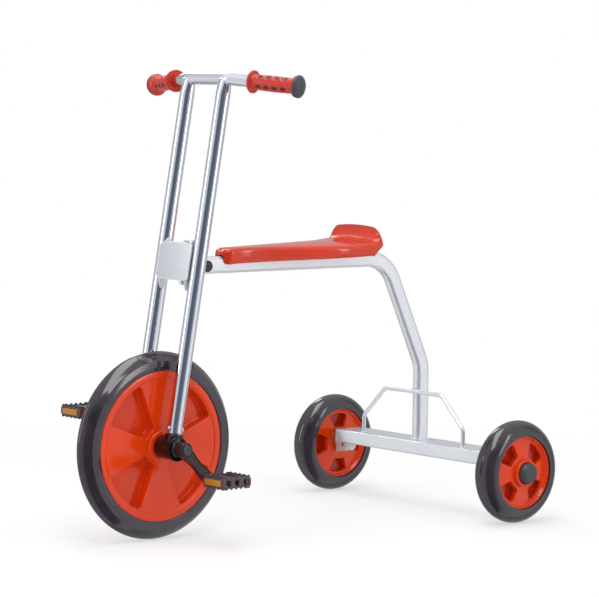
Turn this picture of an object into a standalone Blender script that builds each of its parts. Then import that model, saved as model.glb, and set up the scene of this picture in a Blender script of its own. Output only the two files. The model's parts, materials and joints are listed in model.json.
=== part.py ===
from math import atan2, cos, hypot, pi, radians, sin, sqrt, tan

import bmesh
import bpy
from mathutils import Matrix, Vector

# A child's pedal tricycle, front to -Y, rider's left to +X, standing on Z = 0. Lengths are in metres.

# Clearances
GAP = 0.0003
RUNNING_GAP = 0.0003

# Stance
FRONT_RADIUS = 0.1775
REAR_RADIUS = 0.1015
WHEELBASE = 0.692
TRACK = 0.542

# Front wheel
FRONT_TYRE_DEPTH = 0.0355
FRONT_RIM_HALF = 0.0223
FRONT_RING_WIDTH = 0.013
FRONT_STEP = 0.0018
FRONT_WEB_HALF = 0.0015
FRONT_HUB_RADIUS = 0.028
FRONT_TYRE_HALF = 0.0235
FRONT_CROWN_RADIUS = 0.010
SPOKE_COUNT = 4
FRONT_AXLE_RADIUS = 0.010

# Rear wheels
REAR_TYRE_DEPTH = 0.0295
REAR_RIM_HALF = 0.0223
REAR_LIP_WIDTH = 0.003
REAR_DISH = 0.007
REAR_WEB_HALF = 0.003
REAR_POCKET_INNER = 0.034
REAR_POCKET_OUTER = 0.0625
REAR_HUB_RADIUS = 0.028
REAR_HUB_OUT = 0.031
REAR_HUB_IN = 0.0205
REAR_TYRE_ROUND = 0.0262
BUSH_RADIUS = 0.0115
CAP_RADIUS = 0.021
CAP_OUT = 0.044
CAP_SEAT_DEPTH = 0.005
CAP_WALL = 0.003

# Rear axle stubs, their saddles and cross bolts
STUB_RADIUS = 0.008
STUB_HEAD_RADIUS = 0.0125
STUB_HEAD_LENGTH = 0.006
SADDLE_LENGTH = 0.054
SADDLE_WALL = 0.004
SADDLE_STRAP = 0.036
SADDLE_PLATE = 0.0035
SADDLE_PLATE_DROP = (0.0185, 0.0079)
SADDLE_END_GAP = 0.0025
BOLT_RADIUS = 0.003
BOLT_HEAD_RADIUS = 0.0055
BOLT_HEAD_LENGTH = 0.0045

# Backbone tube
TUBE_WIDTH = 0.021
TUBE_DEPTH = 0.033
TUBE_CORNER = 0.008
TUBE_WALL = 0.0022
BACKBONE_RISE = 0.335
POST_AHEAD = 0.004
RUN_CORNER_AHEAD = 0.106
SLOPE_CORNER_Z = 0.291
TUBE_BEND = 0.080

# Rear beam and hoop rail
BEAM_END_INSET = 0.052
BEAM_DEPTH = 0.072
BEAM_HEIGHT = 0.027
BEAM_CORNER = 0.0045
BEAM_WALL = 0.0022
PLUG_DEPTH = 0.012
PLUG_HEAD = 0.003
RAIL_RADIUS = 0.0043
RAIL_FOOT_HALF = 0.147
RAIL_TOP_HALF = 0.083
RAIL_KNEE_RISE = 0.036
RAIL_RISE = 0.099
RAIL_BEND = 0.016

# Steering head
FORK_LEAN = radians(9.7)
STEER_OFFSET = 0.012
STEER_LIMIT = radians(50)
HEAD_ALONG = 0.350
HEAD_TUBE_LENGTH = 0.052
HEAD_TUBE_RADIUS = 0.016
HEAD_TUBE_BORE = 0.0125
HEAD_FLANGE = 0.003
HEAD_BUSH_DEPTH = 0.017
PIVOT_RADIUS = 0.006
PIVOT_HEAD_RADIUS = 0.0105
PIVOT_HEAD_LENGTH = 0.007
PIVOT_END = 0.004
BRACKET_PLATE = 0.003
BRACKET_HALF = 0.047
BRACKET_RISE = 0.0335
BRACKET_DROP = 0.038
BRACKET_CORNER = 0.006
BRACKET_FLANGE_RADIUS = 0.0165
BRACKET_FLANGE_HALF = 0.034
CHEEK_RISE = 0.041
CHEEK_DROP = 0.055
CHEEK_BEHIND = 0.002
STOP_RADIUS = 0.011
STOP_PLAY = 0.0006
STOP_ROUND = 0.003

# Fork legs and handlebar
LEG_X = 0.054
LEG_RADIUS = 0.014
LEG_WALL = 0.002
LEG_START = 0.0205
LEG_BOLT_ALONG = 0.036
BAR_ALONG = 0.6975
BAR_RADIUS = 0.011
BAR_WALL = 0.0018
BAR_CORNER_X = 0.060
BAR_SWEEP = radians(17)
BAR_PITCH = radians(6)
BAR_BEND = 0.050
GRIP_START = 0.056
GRIP_LENGTH = 0.1005
GRIP_RADIUS = 0.014
GRIP_FLANGE_RADIUS = 0.0215
GRIP_FLANGE = 0.0055
GRIP_LIP_RADIUS = 0.0205
GRIP_LIP = 0.004
END_RADIUS = 0.0215
END_LENGTH = 0.011
END_PLUG = 0.018

# Bearing housings
HOUSING_RADIUS = 0.022
HOUSING_IN = 0.0265
HOUSING_OUT = 0.0725
HOUSING_BORE = 0.0145
COLLAR_RADIUS = 0.0178
COLLAR_TOP = 0.0265
SPIGOT_TOP = 0.046
BEARING_LENGTH = 0.012

# Cranks and pedals
CRANK_LENGTH = 0.068
CRANK_ANGLE = radians(-50)
CRANK_IN = 0.078
CRANK_OUT = 0.098
CRANK_BOSS_RADIUS = 0.0145
CRANK_THICKNESS = 0.012
CRANK_FLARE = 0.016
CRANK_EYE_RADIUS = 0.0105
CRANK_CAP_RADIUS = 0.0095
CRANK_CAP_LENGTH = 0.0035
SPINDLE_RADIUS = 0.0045
SPINDLE_COLLAR_RADIUS = 0.0075
SPINDLE_COLLAR_LENGTH = 0.010
PEDAL_IN = 0.133
PEDAL_WIDTH = 0.060
PEDAL_LENGTH = 0.066
PEDAL_HEIGHT = 0.024
PEDAL_FRAME = 0.009
PEDAL_BARREL_HALF = 0.009
REFLECTOR_WIDTH = 0.046
REFLECTOR_HEIGHT = 0.011
REFLECTOR_DEPTH = 0.004
REFLECTOR_SINK = 0.0025

# Seat
SEAT_BEHIND = 0.150
SEAT_LENGTH = 0.355
SEAT_NOSE_HALF = 0.0225
SEAT_REAR_HALF = 0.079
SEAT_FLARE = (0.05, 0.85)
SEAT_NOSE_RISE = 0.0308
SEAT_REAR_RISE = 0.0413
SEAT_BOTTOM_DROP = 0.0323
SEAT_BOTTOM_RISE = 0.0115
SEAT_CORNER = 0.008
SEAT_CROWN = 0.007
SEAT_TAPER = 0.006
SEAT_SWELL = 0.003
SEAT_SWELL_LENGTH = 0.048
SEAT_LIP_HEIGHT = 0.0247
SEAT_LIP_LENGTH = 0.0175
SEAT_LIP_TOP = 0.004
SEAT_LIP_FULL = 0.6
SEAT_NOSE_ROUND = 0.020
SEAT_NOSE_FRONT = 0.35
SEAT_NOSE_DROP = 0.008
SEAT_NOSE_LIFT = 0.015
SEAT_TUCK = 0.018
SEAT_TUCK_LENGTH = 0.030
SEAT_TUCK_RISE = 0.0335
SEAT_TUCK_HEIGHT = 0.020
SEAT_WALL = 0.004
SEAT_CLEAR = 0.0015
SEAT_BRACKETS = (0.21, 0.775)
SEAT_BRACKET_HALF = (0.018, 0.045)
SEAT_BRACKET_LENGTH = 0.036
SEAT_BRACKET_PLATE = 0.003
SEAT_BRACKET_HEIGHT = 0.0085
SEAT_BOSS_RADIUS = 0.008
SEAT_SCREW_RADIUS = 0.003
SEAT_SCREW_HEAD_RADIUS = 0.0055
SEAT_SCREW_HEAD_LENGTH = 0.003
SEAT_SCREW_LENGTH = 0.0075

# Mesh counts
TYRE_SIDES = 40
SMALL_TYRE_SIDES = 28
ROUND_SIDES = 16
FINE_SIDES = 12
BOLT_SIDES = 8
ROD_SIDES = 8
BEND_STEPS = 5

# Places worked out from the sizes
REACH = FRONT_RADIUS + WHEELBASE + REAR_RADIUS
FRONT_AXLE = Vector((0, FRONT_RADIUS - REACH / 2, FRONT_RADIUS))
REAR_AXLE = Vector((0, REACH / 2 - REAR_RADIUS, REAR_RADIUS))
FRONT_RIM_RADIUS = FRONT_RADIUS - FRONT_TYRE_DEPTH
REAR_RIM_RADIUS = REAR_RADIUS - REAR_TYRE_DEPTH
LEAN = Matrix.Rotation(-FORK_LEAN, 4, "X")
STEER_BASE = FRONT_AXLE + LEAN @ Vector((0, STEER_OFFSET, 0))
BEAM_BOTTOM = REAR_RADIUS + STUB_RADIUS + GAP
BEAM_TOP = BEAM_BOTTOM + BEAM_HEIGHT
BEAM_HALF = TRACK / 2 - BEAM_END_INSET
BACKBONE_Z = FRONT_RADIUS + BACKBONE_RISE
POST_Y = REAR_AXLE.y - POST_AHEAD
SADDLE_OUT = TRACK / 2 - REAR_HUB_IN - SADDLE_END_GAP
LEG_Y = -STEER_OFFSET
LEG_BORE = LEG_RADIUS - LEG_WALL
SEAT_FRONT_Y = FRONT_AXLE.y + SEAT_BEHIND
SEAT_NOSE_TOP = BACKBONE_Z + SEAT_NOSE_RISE
SEAT_REAR_TOP = BACKBONE_Z + SEAT_REAR_RISE
SEAT_TUCK_TOP = BACKBONE_Z + SEAT_TUCK_RISE


def clear_scene():
    for item in list(bpy.data.objects):
        bpy.data.objects.remove(item, do_unlink=True)


def make_material(name, color, roughness, metallic=0.0):
    material = bpy.data.materials.new(name)
    material.use_nodes = True
    shader = material.node_tree.nodes["Principled BSDF"]
    shader.inputs["Base Color"].default_value = (*color, 1)
    shader.inputs["Roughness"].default_value = roughness
    shader.inputs["Metallic"].default_value = metallic
    return material


def make_object(name, bm, material, parent=None, location=(0, 0, 0), rotation=None):
    bmesh.ops.recalc_face_normals(bm, faces=bm.faces)
    mesh = bpy.data.meshes.new(name)
    bm.to_mesh(mesh)
    bm.free()
    mesh.shade_smooth()
    mesh.set_sharp_from_angle(angle=radians(32))
    item = bpy.data.objects.new(name, mesh)
    bpy.context.scene.collection.objects.link(item)
    if material:
        mesh.materials.append(material)
    item.parent = parent
    place = Matrix.Translation(Vector(location))
    item.matrix_local = place @ rotation if rotation else place
    return item


def make_empty(name, location, parent=None, rotation=None):
    item = bpy.data.objects.new(name, None)
    bpy.context.scene.collection.objects.link(item)
    item.parent = parent
    place = Matrix.Translation(Vector(location))
    item.matrix_local = place @ rotation if rotation else place
    return item


def boolean(item, other, operation):
    other.hide_render = True
    other.display_type = "WIRE"
    modifier = item.modifiers.new(other.name, "BOOLEAN")
    modifier.operation = operation
    modifier.solver = "EXACT"
    modifier.object = other


def cut(item, name, bm, location=(0, 0, 0), rotation=None):
    boolean(item, make_object(name, bm, None, item.parent, location, rotation), "DIFFERENCE")


def join(item, name, bm, location=(0, 0, 0), rotation=None):
    boolean(item, make_object(name, bm, None, item.parent, location, rotation), "UNION")


def axis_turn(axis):
    # A turned shape runs along local X. This matrix lays it along Y or Z.
    if axis == "Y":
        return Matrix.Rotation(radians(90), 4, "Z")
    if axis == "Z":
        return Matrix.Rotation(radians(-90), 4, "Y")
    return Matrix.Identity(4)


def turned(profile, sides, axis="X", ring=False):
    # The profile holds (along, radius) points. Radius 0 closes the next circle with a flat face.
    # A ring's profile is a loop, whose last point meets its first.
    bm = bmesh.new()
    angles = [2 * pi * i / sides for i in range(sides)]
    circles = []
    for along, radius in profile:
        spots = [(along, radius * cos(a), radius * sin(a)) for a in angles] if radius else []
        circles.append([bm.verts.new(spot) for spot in spots])
    pairs = list(zip(circles, circles[1:]))
    if ring:
        pairs.append((circles[-1], circles[0]))
    for low, high in pairs:
        if low and high:
            for i in range(sides):
                j = (i + 1) % sides
                bm.faces.new((low[i], low[j], high[j], high[i]))
        elif low or high:
            bm.faces.new(low or high)
    bmesh.ops.transform(bm, matrix=axis_turn(axis), verts=bm.verts)
    return bm


def rod(start, end, radius, sides=FINE_SIDES, axis="X"):
    return turned([(start, 0), (start, radius), (end, radius), (end, 0)], sides, axis)


def sleeve(start, end, inner, outer, sides=FINE_SIDES, axis="X"):
    return turned([(start, inner), (start, outer), (end, outer), (end, inner)], sides, axis, ring=True)


def block(low, high):
    bm = bmesh.new()
    bmesh.ops.create_cube(bm, size=1)
    low, high = Vector(low), Vector(high)
    size = high - low
    bmesh.ops.scale(bm, vec=size, verts=bm.verts)
    bmesh.ops.translate(bm, vec=(low + high) / 2, verts=bm.verts)
    return bm


def bevel_all(bm, width, segments=2):
    bmesh.ops.bevel(bm, geom=bm.edges[:], offset=width, segments=segments, affect="EDGES", profile=0.5)
    return bm


def rounded_path(corners, radius, steps=BEND_STEPS):
    # Straight runs joined by arcs of one radius, as a tube bender leaves them.
    points = [Vector(corners[0])]
    for before, corner, after in zip(corners, corners[1:], corners[2:]):
        before, corner, after = Vector(before), Vector(corner), Vector(after)
        inward = (before - corner).normalized()
        outward = (after - corner).normalized()
        half = inward.angle(outward) / 2
        reach = radius / tan(half)
        middle = corner + (inward + outward).normalized() * radius / sin(half)
        first = (corner + inward * reach - middle).normalized()
        last = (corner + outward * reach - middle).normalized()
        square = (last - first * first.dot(last)).normalized()
        turn = first.angle(last)
        for i in range(steps + 1):
            angle = turn * i / steps
            points.append(middle + (first * cos(angle) + square * sin(angle)) * radius)
    points.append(Vector(corners[-1]))
    return points


def round_section(radius, sides):
    return [(radius * cos(2 * pi * i / sides), radius * sin(2 * pi * i / sides)) for i in range(sides)]


def box_section(width, depth, corner, steps=2):
    points = []
    for sign_x, sign_y, start in ((1, 1, 0), (-1, 1, 90), (-1, -1, 180), (1, -1, 270)):
        for i in range(steps + 1):
            angle = radians(start + 90 * i / steps)
            x = sign_x * (width / 2 - corner) + corner * cos(angle)
            y = sign_y * (depth / 2 - corner) + corner * sin(angle)
            points.append((x, y))
    return points


def sweep(path, side, section, inner=None):
    # The section's first axis follows `side`, a direction square to the whole path where it can be.
    bm = bmesh.new()
    side = Vector(side).normalized()
    loops = [[], []]
    for i, point in enumerate(path):
        before = path[max(i - 1, 0)]
        after = path[min(i + 1, len(path) - 1)]
        forward = ((point - before).normalized() + (after - point).normalized()).normalized()
        up = forward.cross(side).normalized()
        across = up.cross(forward)
        for store, outline in zip(loops, (section, inner)):
            if outline:
                store.append([bm.verts.new(point + across * a + up * b) for a, b in outline])
    count = len(section)
    for store in loops:
        for low, high in zip(store, store[1:]):
            for i in range(count):
                j = (i + 1) % count
                bm.faces.new((low[i], low[j], high[j], high[i]))
    for end in (0, -1):
        if not inner:
            bm.faces.new(loops[0][end])
            continue
        for i in range(count):
            j = (i + 1) % count
            bm.faces.new((loops[0][end][i], loops[0][end][j], loops[1][end][j], loops[1][end][i]))
    return bm


def prism(outline, low, high, axis="X"):
    # An outline of (a, b) points, in the two axes after the chosen one, drawn out from low to high.
    bm = bmesh.new()
    order = {"X": (0, 1, 2), "Y": (1, 2, 0), "Z": (2, 0, 1)}[axis]
    ends = []
    for level in (low, high):
        ring = []
        for a, b in outline:
            spot = [0, 0, 0]
            spot[order[0]], spot[order[1]], spot[order[2]] = level, a, b
            ring.append(bm.verts.new(spot))
        ends.append(ring)
    bm.faces.new(ends[0])
    bm.faces.new(ends[1])
    for i in range(len(outline)):
        j = (i + 1) % len(outline)
        bm.faces.new((ends[0][i], ends[0][j], ends[1][j], ends[1][i]))
    return bm


def arc(radius, start, end, steps, center=(0, 0)):
    angles = [start + (end - start) * i / steps for i in range(steps + 1)]
    return [(center[0] + radius * cos(a), center[1] + radius * sin(a)) for a in angles]


def pocket_outline(inner, outer, middle, half, corner=0.006, steps=3):
    # A wedge between two spokes, with rounded outer corners. The sides run straight to the hub.
    trim = corner / outer
    points = arc(outer, middle - half + trim, middle + half - trim, steps)
    points.insert(0, ((outer - corner) * cos(middle - half), (outer - corner) * sin(middle - half)))
    points.append(((outer - corner) * cos(middle + half), (outer - corner) * sin(middle + half)))
    points += arc(inner, middle + half, middle - half, 2)
    return points


def cut_pockets(disc, inner, outer, half, floor, reach, shift):
    for number in range(SPOKE_COUNT):
        middle = shift + 2 * pi * (number + 0.5) / SPOKE_COUNT
        outline = pocket_outline(inner, outer, middle, half)
        for side in (-1, 1):
            low, high = sorted((side * floor, side * reach))
            cut(disc, f"{disc.name}_pocket_{number}_{side}", prism(outline, low, high))


def build_materials():
    return {
        "red": make_material("red_plastic", (0.72, 0.045, 0.015), 0.3),
        "tyre": make_material("black_rubber", (0.025, 0.023, 0.027), 0.42),
        "black": make_material("black_plastic", (0.02, 0.018, 0.02), 0.4),
        "grey": make_material("dark_grey_plastic", (0.07, 0.08, 0.1), 0.35),
        "chrome": make_material("chrome", (0.75, 0.77, 0.82), 0.08, 1),
        "zinc": make_material("zinc_plate", (0.66, 0.69, 0.73), 0.32, 1),
        "steel": make_material("steel", (0.55, 0.56, 0.58), 0.35, 1),
        "amber": make_material("amber_reflector", (0.75, 0.25, 0.01), 0.25),
        "bush": make_material("bush_nylon", (0.6, 0.6, 0.56), 0.45),
    }


def build_tyre_front(mats, parent):
    seat = FRONT_RIM_RADIUS + GAP
    half = FRONT_TYRE_HALF
    crown = arc(FRONT_CROWN_RADIUS, radians(38), radians(142), 4, (0, FRONT_RADIUS - FRONT_CROWN_RADIUS))
    shoulder = FRONT_RADIUS - 0.016
    side = [(half - 0.001, seat), (half, seat + 0.008)]
    side += [(half - 0.0015, shoulder), (half - 0.0055, shoulder + 0.004)]
    profile = side + crown + [(-x, r) for x, r in reversed(side)]
    bm = turned(profile, TYRE_SIDES, ring=True)
    return make_object("front_tyre", bm, mats["tyre"], parent)


def build_disc_front(mats, parent):
    rim, half = FRONT_RIM_RADIUS, FRONT_RIM_HALF
    ring = rim - FRONT_RING_WIDTH
    face = half - FRONT_STEP
    bore = FRONT_AXLE_RADIUS + GAP
    side = [
        (half + 0.0015, bore),
        (half + 0.0015, FRONT_HUB_RADIUS - 0.002),
        (face, FRONT_HUB_RADIUS + 0.001),
        (face, ring - 0.001),
        (half, ring),
        (half, rim),
    ]
    profile = side + [(-x, r) for x, r in reversed(side)]
    disc = make_object("front_disc", turned(profile, TYRE_SIDES, ring=True), mats["red"], parent)
    half_angle = pi / SPOKE_COUNT / 2
    cut_pockets(disc, FRONT_HUB_RADIUS + 0.008, ring - 0.0025, half_angle, FRONT_WEB_HALF, half + 0.01, 0)
    return disc


def build_tyre_rear(name, mats, parent):
    seat = REAR_RIM_RADIUS + GAP
    middle = REAR_RADIUS - REAR_TYRE_ROUND
    start = -0.12
    crown = arc(REAR_TYRE_ROUND, start, pi - start, 8, (0, middle))
    profile = [(REAR_RIM_HALF, seat)] + crown + [(-REAR_RIM_HALF, seat)]
    return make_object(name, turned(profile, SMALL_TYRE_SIDES, ring=True), mats["tyre"], parent)


def build_disc_rear(name, mats, parent, side, shift):
    rim, half = REAR_RIM_RADIUS, REAR_RIM_HALF
    lip = rim - REAR_LIP_WIDTH
    bore = BUSH_RADIUS + GAP
    seat = CAP_RADIUS + GAP
    out = [
        (REAR_HUB_OUT - CAP_SEAT_DEPTH, bore),
        (REAR_HUB_OUT - CAP_SEAT_DEPTH, seat),
        (REAR_HUB_OUT, seat),
        (REAR_HUB_OUT, REAR_HUB_RADIUS - 0.002),
        (REAR_HUB_OUT - 0.002, REAR_HUB_RADIUS),
        (half - 0.001, REAR_HUB_RADIUS + 0.001),
        (half - REAR_DISH, lip - 0.003),
        (half, lip),
        (half, rim),
    ]
    back = [
        (-half, rim),
        (-half, lip),
        (REAR_DISH - half, lip - 0.003),
        (-REAR_HUB_IN + 0.001, REAR_HUB_RADIUS),
        (-REAR_HUB_IN, REAR_HUB_RADIUS - 0.002),
        (-REAR_HUB_IN, bore),
    ]
    profile = [(side * x, r) for x, r in out + back]
    disc = make_object(name, turned(profile, SMALL_TYRE_SIDES, ring=True), mats["red"], parent)
    half_angle = pi / SPOKE_COUNT / 2
    cut_pockets(disc, REAR_POCKET_INNER, REAR_POCKET_OUTER, half_angle, REAR_WEB_HALF, half + 0.01, shift)
    return disc


def build_rear_wheel(word, side, mats):
    axis = make_empty(f"{word}_wheel_axis", (side * TRACK / 2, REAR_AXLE.y, REAR_AXLE.z))
    build_tyre_rear(f"rear_tyre_{word}", mats, axis)
    shift = 0 if side > 0 else pi / SPOKE_COUNT
    build_disc_rear(f"rear_disc_{word}", mats, axis, side, shift)
    inner = -REAR_HUB_IN
    outer = REAR_HUB_OUT - CAP_SEAT_DEPTH
    bush = sleeve(side * inner, side * outer, STUB_RADIUS + RUNNING_GAP, BUSH_RADIUS)
    make_object(f"rear_bush_{word}", bush, mats["bush"], axis)
    hollow = CAP_RADIUS - CAP_WALL
    start = outer + GAP
    dome = CAP_OUT - 0.006
    profile = [
        (start, hollow),
        (start, CAP_RADIUS),
        (dome, CAP_RADIUS - 0.001),
        (CAP_OUT - 0.002, CAP_RADIUS - 0.005),
        (CAP_OUT, CAP_RADIUS - 0.011),
        (CAP_OUT, 0),
        (CAP_OUT - CAP_WALL, 0),
        (dome - 0.001, hollow - 0.001),
    ]
    cap = turned([(side * x, r) for x, r in profile], ROUND_SIDES, ring=True)
    make_object(f"rear_cap_{word}", cap, mats["grey"], axis)


def build_stub(word, side, mats):
    head_start = TRACK / 2 + REAR_HUB_OUT - CAP_SEAT_DEPTH + GAP
    head_end = head_start + STUB_HEAD_LENGTH
    start = SADDLE_OUT - SADDLE_STRAP + 0.0015
    profile = [(start, 0), (start, STUB_RADIUS), (head_start, STUB_RADIUS)]
    profile += [(head_start, STUB_HEAD_RADIUS), (head_end, STUB_HEAD_RADIUS), (head_end, 0)]
    location = (0, REAR_AXLE.y, REAR_AXLE.z)
    stub = make_object(f"rear_stub_{word}", turned([(side * x, r) for x, r in profile], ROUND_SIDES),
                       mats["steel"], None, location)
    middle = side * (SADDLE_OUT - SADDLE_LENGTH / 2)
    width = STUB_RADIUS + GAP + SADDLE_WALL
    spot = (middle, REAR_AXLE.y, REAR_AXLE.z)
    cut(stub, f"stub_hole_{word}", rod(-width, width, BOLT_RADIUS + GAP, BOLT_SIDES, "Y"), spot)
    build_saddle(word, side, mats, spot)
    make_object(f"saddle_bolt_{word}", cross_bolt(width + GAP), mats["zinc"], None, spot)


def cross_bolt(ends):
    # A bolt along Y with a head or a nut past each end of what it holds.
    outer = ends + BOLT_HEAD_LENGTH
    profile = [(outer, 0), (outer, BOLT_HEAD_RADIUS), (ends, BOLT_HEAD_RADIUS), (ends, BOLT_RADIUS)]
    profile += [(-x, r) for x, r in reversed(profile)]
    return turned(profile, BOLT_SIDES, "Y")


def build_saddle(word, side, mats, spot):
    # A folded strap below the beam end, with the axle stub lying in it, and a longer front plate
    # whose lower edge climbs away from the wheel.
    inner = STUB_RADIUS + GAP
    outer = inner + SADDLE_WALL
    top = BEAM_BOTTOM - REAR_AXLE.z - GAP
    front = SADDLE_PLATE / 2 - outer
    outline = [(front, top), (front, -outer * 0.55), (-outer * 0.55, -outer), (outer * 0.55, -outer)]
    outline += [(outer, -outer * 0.55), (outer, top), (inner, top)]
    outline += arc(inner, 0, -pi, 10)
    outline += [(-inner, top)]
    half = SADDLE_LENGTH / 2
    low, high = sorted((side * half, side * (half - SADDLE_STRAP)))
    saddle = make_object(f"axle_saddle_{word}", prism(outline, low, high), mats["zinc"], None, spot)
    deep, shallow = SADDLE_PLATE_DROP
    face = [(top, side * half), (-deep, side * half), (-shallow, -side * half), (top, -side * half)]
    join(saddle, f"saddle_plate_{word}", prism(face, -outer, SADDLE_PLATE - outer, "Y"), spot)
    cut(saddle, f"saddle_hole_{word}", rod(-0.03, 0.03, BOLT_RADIUS + GAP, BOLT_SIDES, "Y"), spot)


def head_center():
    return STEER_BASE + LEAN @ Vector((0, 0, HEAD_ALONG))


def build_backbone(mats):
    head = head_center()
    corner_y = POST_Y - RUN_CORNER_AHEAD
    corners = [(0, head.y, BACKBONE_Z), (0, corner_y, BACKBONE_Z), (0, POST_Y, SLOPE_CORNER_Z)]
    corners.append((0, POST_Y, BEAM_TOP + GAP))
    path = rounded_path(corners, TUBE_BEND)
    section = box_section(TUBE_WIDTH, TUBE_DEPTH, TUBE_CORNER)
    wall = 2 * TUBE_WALL
    inner = box_section(TUBE_WIDTH - wall, TUBE_DEPTH - wall, TUBE_CORNER - TUBE_WALL)
    tube = make_object("backbone_tube", sweep(path, (1, 0, 0), section, inner), mats["zinc"])
    reach = HEAD_TUBE_LENGTH
    cutter = rod(-reach, reach, HEAD_TUBE_RADIUS + GAP, ROUND_SIDES, "Z")
    cut(tube, "backbone_cope", cutter, head, LEAN)


def build_head(mats):
    head = head_center()
    half = HEAD_TUBE_LENGTH / 2
    tube = sleeve(-half, half, HEAD_TUBE_BORE, HEAD_TUBE_RADIUS, ROUND_SIDES, "Z")
    make_object("head_tube", tube, mats["zinc"], None, head, LEAN)
    for word, side in (("upper", 1), ("lower", -1)):
        inner = PIVOT_RADIUS + RUNNING_GAP
        body = HEAD_TUBE_BORE - GAP
        start, seat = side * (half - HEAD_BUSH_DEPTH), side * (half + GAP)
        edge = side * (half + GAP + HEAD_FLANGE)
        profile = [(start, inner), (start, body), (seat, body), (seat, HEAD_TUBE_RADIUS - 0.0005)]
        profile += [(edge, HEAD_TUBE_RADIUS - 0.0005), (edge, inner)]
        bush = turned(profile, ROUND_SIDES, "Z", ring=True)
        make_object(f"head_bush_{word}", bush, mats["bush"], None, head, LEAN)


def build_stops(mats):
    # Each stop stands where its fork leg arrives at the end of the steering range.
    radius = hypot(LEG_X, STEER_OFFSET)
    arrival = pi / 2 + atan2(STEER_OFFSET, LEG_X) - STEER_LIMIT
    face = radius * sin(arrival) - LEG_RADIUS - STOP_PLAY
    head = head_center()
    axis_y = head.y - tan(FORK_LEAN) * (head.z - BACKBONE_Z)
    spot_y = axis_y + radius * cos(arrival)
    start = TUBE_WIDTH / 2 + GAP
    for word, side in (("left", 1), ("right", -1)):
        round_start = face - STOP_ROUND
        profile = [(start, 0), (start, STOP_RADIUS), (round_start, STOP_RADIUS)]
        profile += [(face, STOP_RADIUS - STOP_ROUND), (face, 0)]
        stop = turned([(side * x, r) for x, r in profile], ROUND_SIDES)
        make_object(f"steering_stop_{word}", stop, mats["black"], None, (0, spot_y, BACKBONE_Z))


def build_beam(mats):
    section = box_section(BEAM_DEPTH, BEAM_HEIGHT, BEAM_CORNER)
    wall = 2 * BEAM_WALL
    inner = box_section(BEAM_DEPTH - wall, BEAM_HEIGHT - wall, BEAM_CORNER - BEAM_WALL)
    half = BEAM_HALF
    middle = (BEAM_BOTTOM + BEAM_TOP) / 2
    path = [Vector((-half, POST_Y, middle)), Vector((half, POST_Y, middle))]
    make_object("rear_beam", sweep(path, (0, 1, 0), section, inner), mats["zinc"])
    fit = 2 * (BEAM_WALL + GAP)
    inside = box_section(BEAM_DEPTH - fit, BEAM_HEIGHT - fit, BEAM_CORNER - BEAM_WALL)
    for word, side in (("left", 1), ("right", -1)):
        start = Vector((side * (half - PLUG_DEPTH), POST_Y, middle))
        seat = Vector((side * (half + GAP), POST_Y, middle))
        edge = Vector((side * (half + GAP + PLUG_HEAD), POST_Y, middle))
        overlap = Vector((side * PLUG_HEAD / 2, 0, 0))
        core = sweep([start, seat + overlap], (0, 1, 0), inside)
        plug = make_object(f"beam_plug_{word}", core, mats["black"])
        join(plug, f"plug_head_{word}", sweep([seat, edge], (0, 1, 0), section))


def build_rail(mats):
    foot = BEAM_TOP + GAP
    y = POST_Y - TUBE_DEPTH / 2 - GAP - RAIL_RADIUS
    knee, top = foot + RAIL_KNEE_RISE, foot + RAIL_RISE
    corners = [(-RAIL_FOOT_HALF, y, foot), (-RAIL_FOOT_HALF, y, knee), (-RAIL_TOP_HALF, y, top)]
    corners += [(-x, y, z) for x, y, z in reversed(corners)]
    path = rounded_path(corners, RAIL_BEND, 4)
    make_object("hoop_rail", sweep(path, (0, 1, 0), round_section(RAIL_RADIUS, ROD_SIDES)), mats["zinc"])


def bar_path():
    # The bar's middle is straight. Both ends sweep back and dip a little, seen in the fork's own frame.
    reach = GRIP_START + GRIP_LENGTH
    back = Vector((0, cos(BAR_PITCH), -sin(BAR_PITCH)))
    level = Vector((0, LEG_Y, BAR_ALONG))
    corner = level + Vector((BAR_CORNER_X, 0, 0))
    outward = Vector((cos(BAR_SWEEP), 0, 0)) + back * sin(BAR_SWEEP)
    end = corner + outward * reach
    mirror = Vector((-1, 1, 1))
    corners = [end * mirror, corner * mirror, corner, end]
    return rounded_path(corners, BAR_BEND, 3), corner, outward


def build_fork(mats, steering):
    path, corner, outward = bar_path()
    across = (0, sin(BAR_PITCH), cos(BAR_PITCH))
    section = round_section(BAR_RADIUS, ROUND_SIDES)
    bar = sweep(path, across, section, round_section(BAR_RADIUS - BAR_WALL, ROUND_SIDES))
    make_object("handlebar", bar, mats["chrome"], steering)
    for word, side in (("left", 1), ("right", -1)):
        build_leg(word, side, mats, steering, path, across)
        build_housing(word, side, mats, steering)
        direction = Vector((side * outward.x, outward.y, outward.z))
        turn = Vector((1, 0, 0)).rotation_difference(direction).to_matrix().to_4x4()
        start = Vector((side * corner.x, corner.y, corner.z)) + direction * GRIP_START
        build_grip(word, mats, steering, start, turn)
    build_bracket(mats, steering)


def build_leg(word, side, mats, steering, path, across):
    tube = sleeve(LEG_START, BAR_ALONG - 0.004, LEG_BORE, LEG_RADIUS, ROUND_SIDES, "Z")
    leg = make_object(f"fork_leg_{word}", tube, mats["chrome"], steering, (side * LEG_X, LEG_Y, 0))
    cut(leg, f"leg_mouth_{word}", sweep(path, across, round_section(BAR_RADIUS + GAP, ROUND_SIDES)))
    spot = (side * LEG_X, LEG_Y, LEG_BOLT_ALONG)
    cut(leg, f"leg_hole_{word}", rod(-0.02, 0.02, BOLT_RADIUS + GAP, BOLT_SIDES, "Y"), spot)
    make_object(f"leg_bolt_{word}", cross_bolt(LEG_RADIUS + GAP), mats["zinc"], steering, spot)


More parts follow.
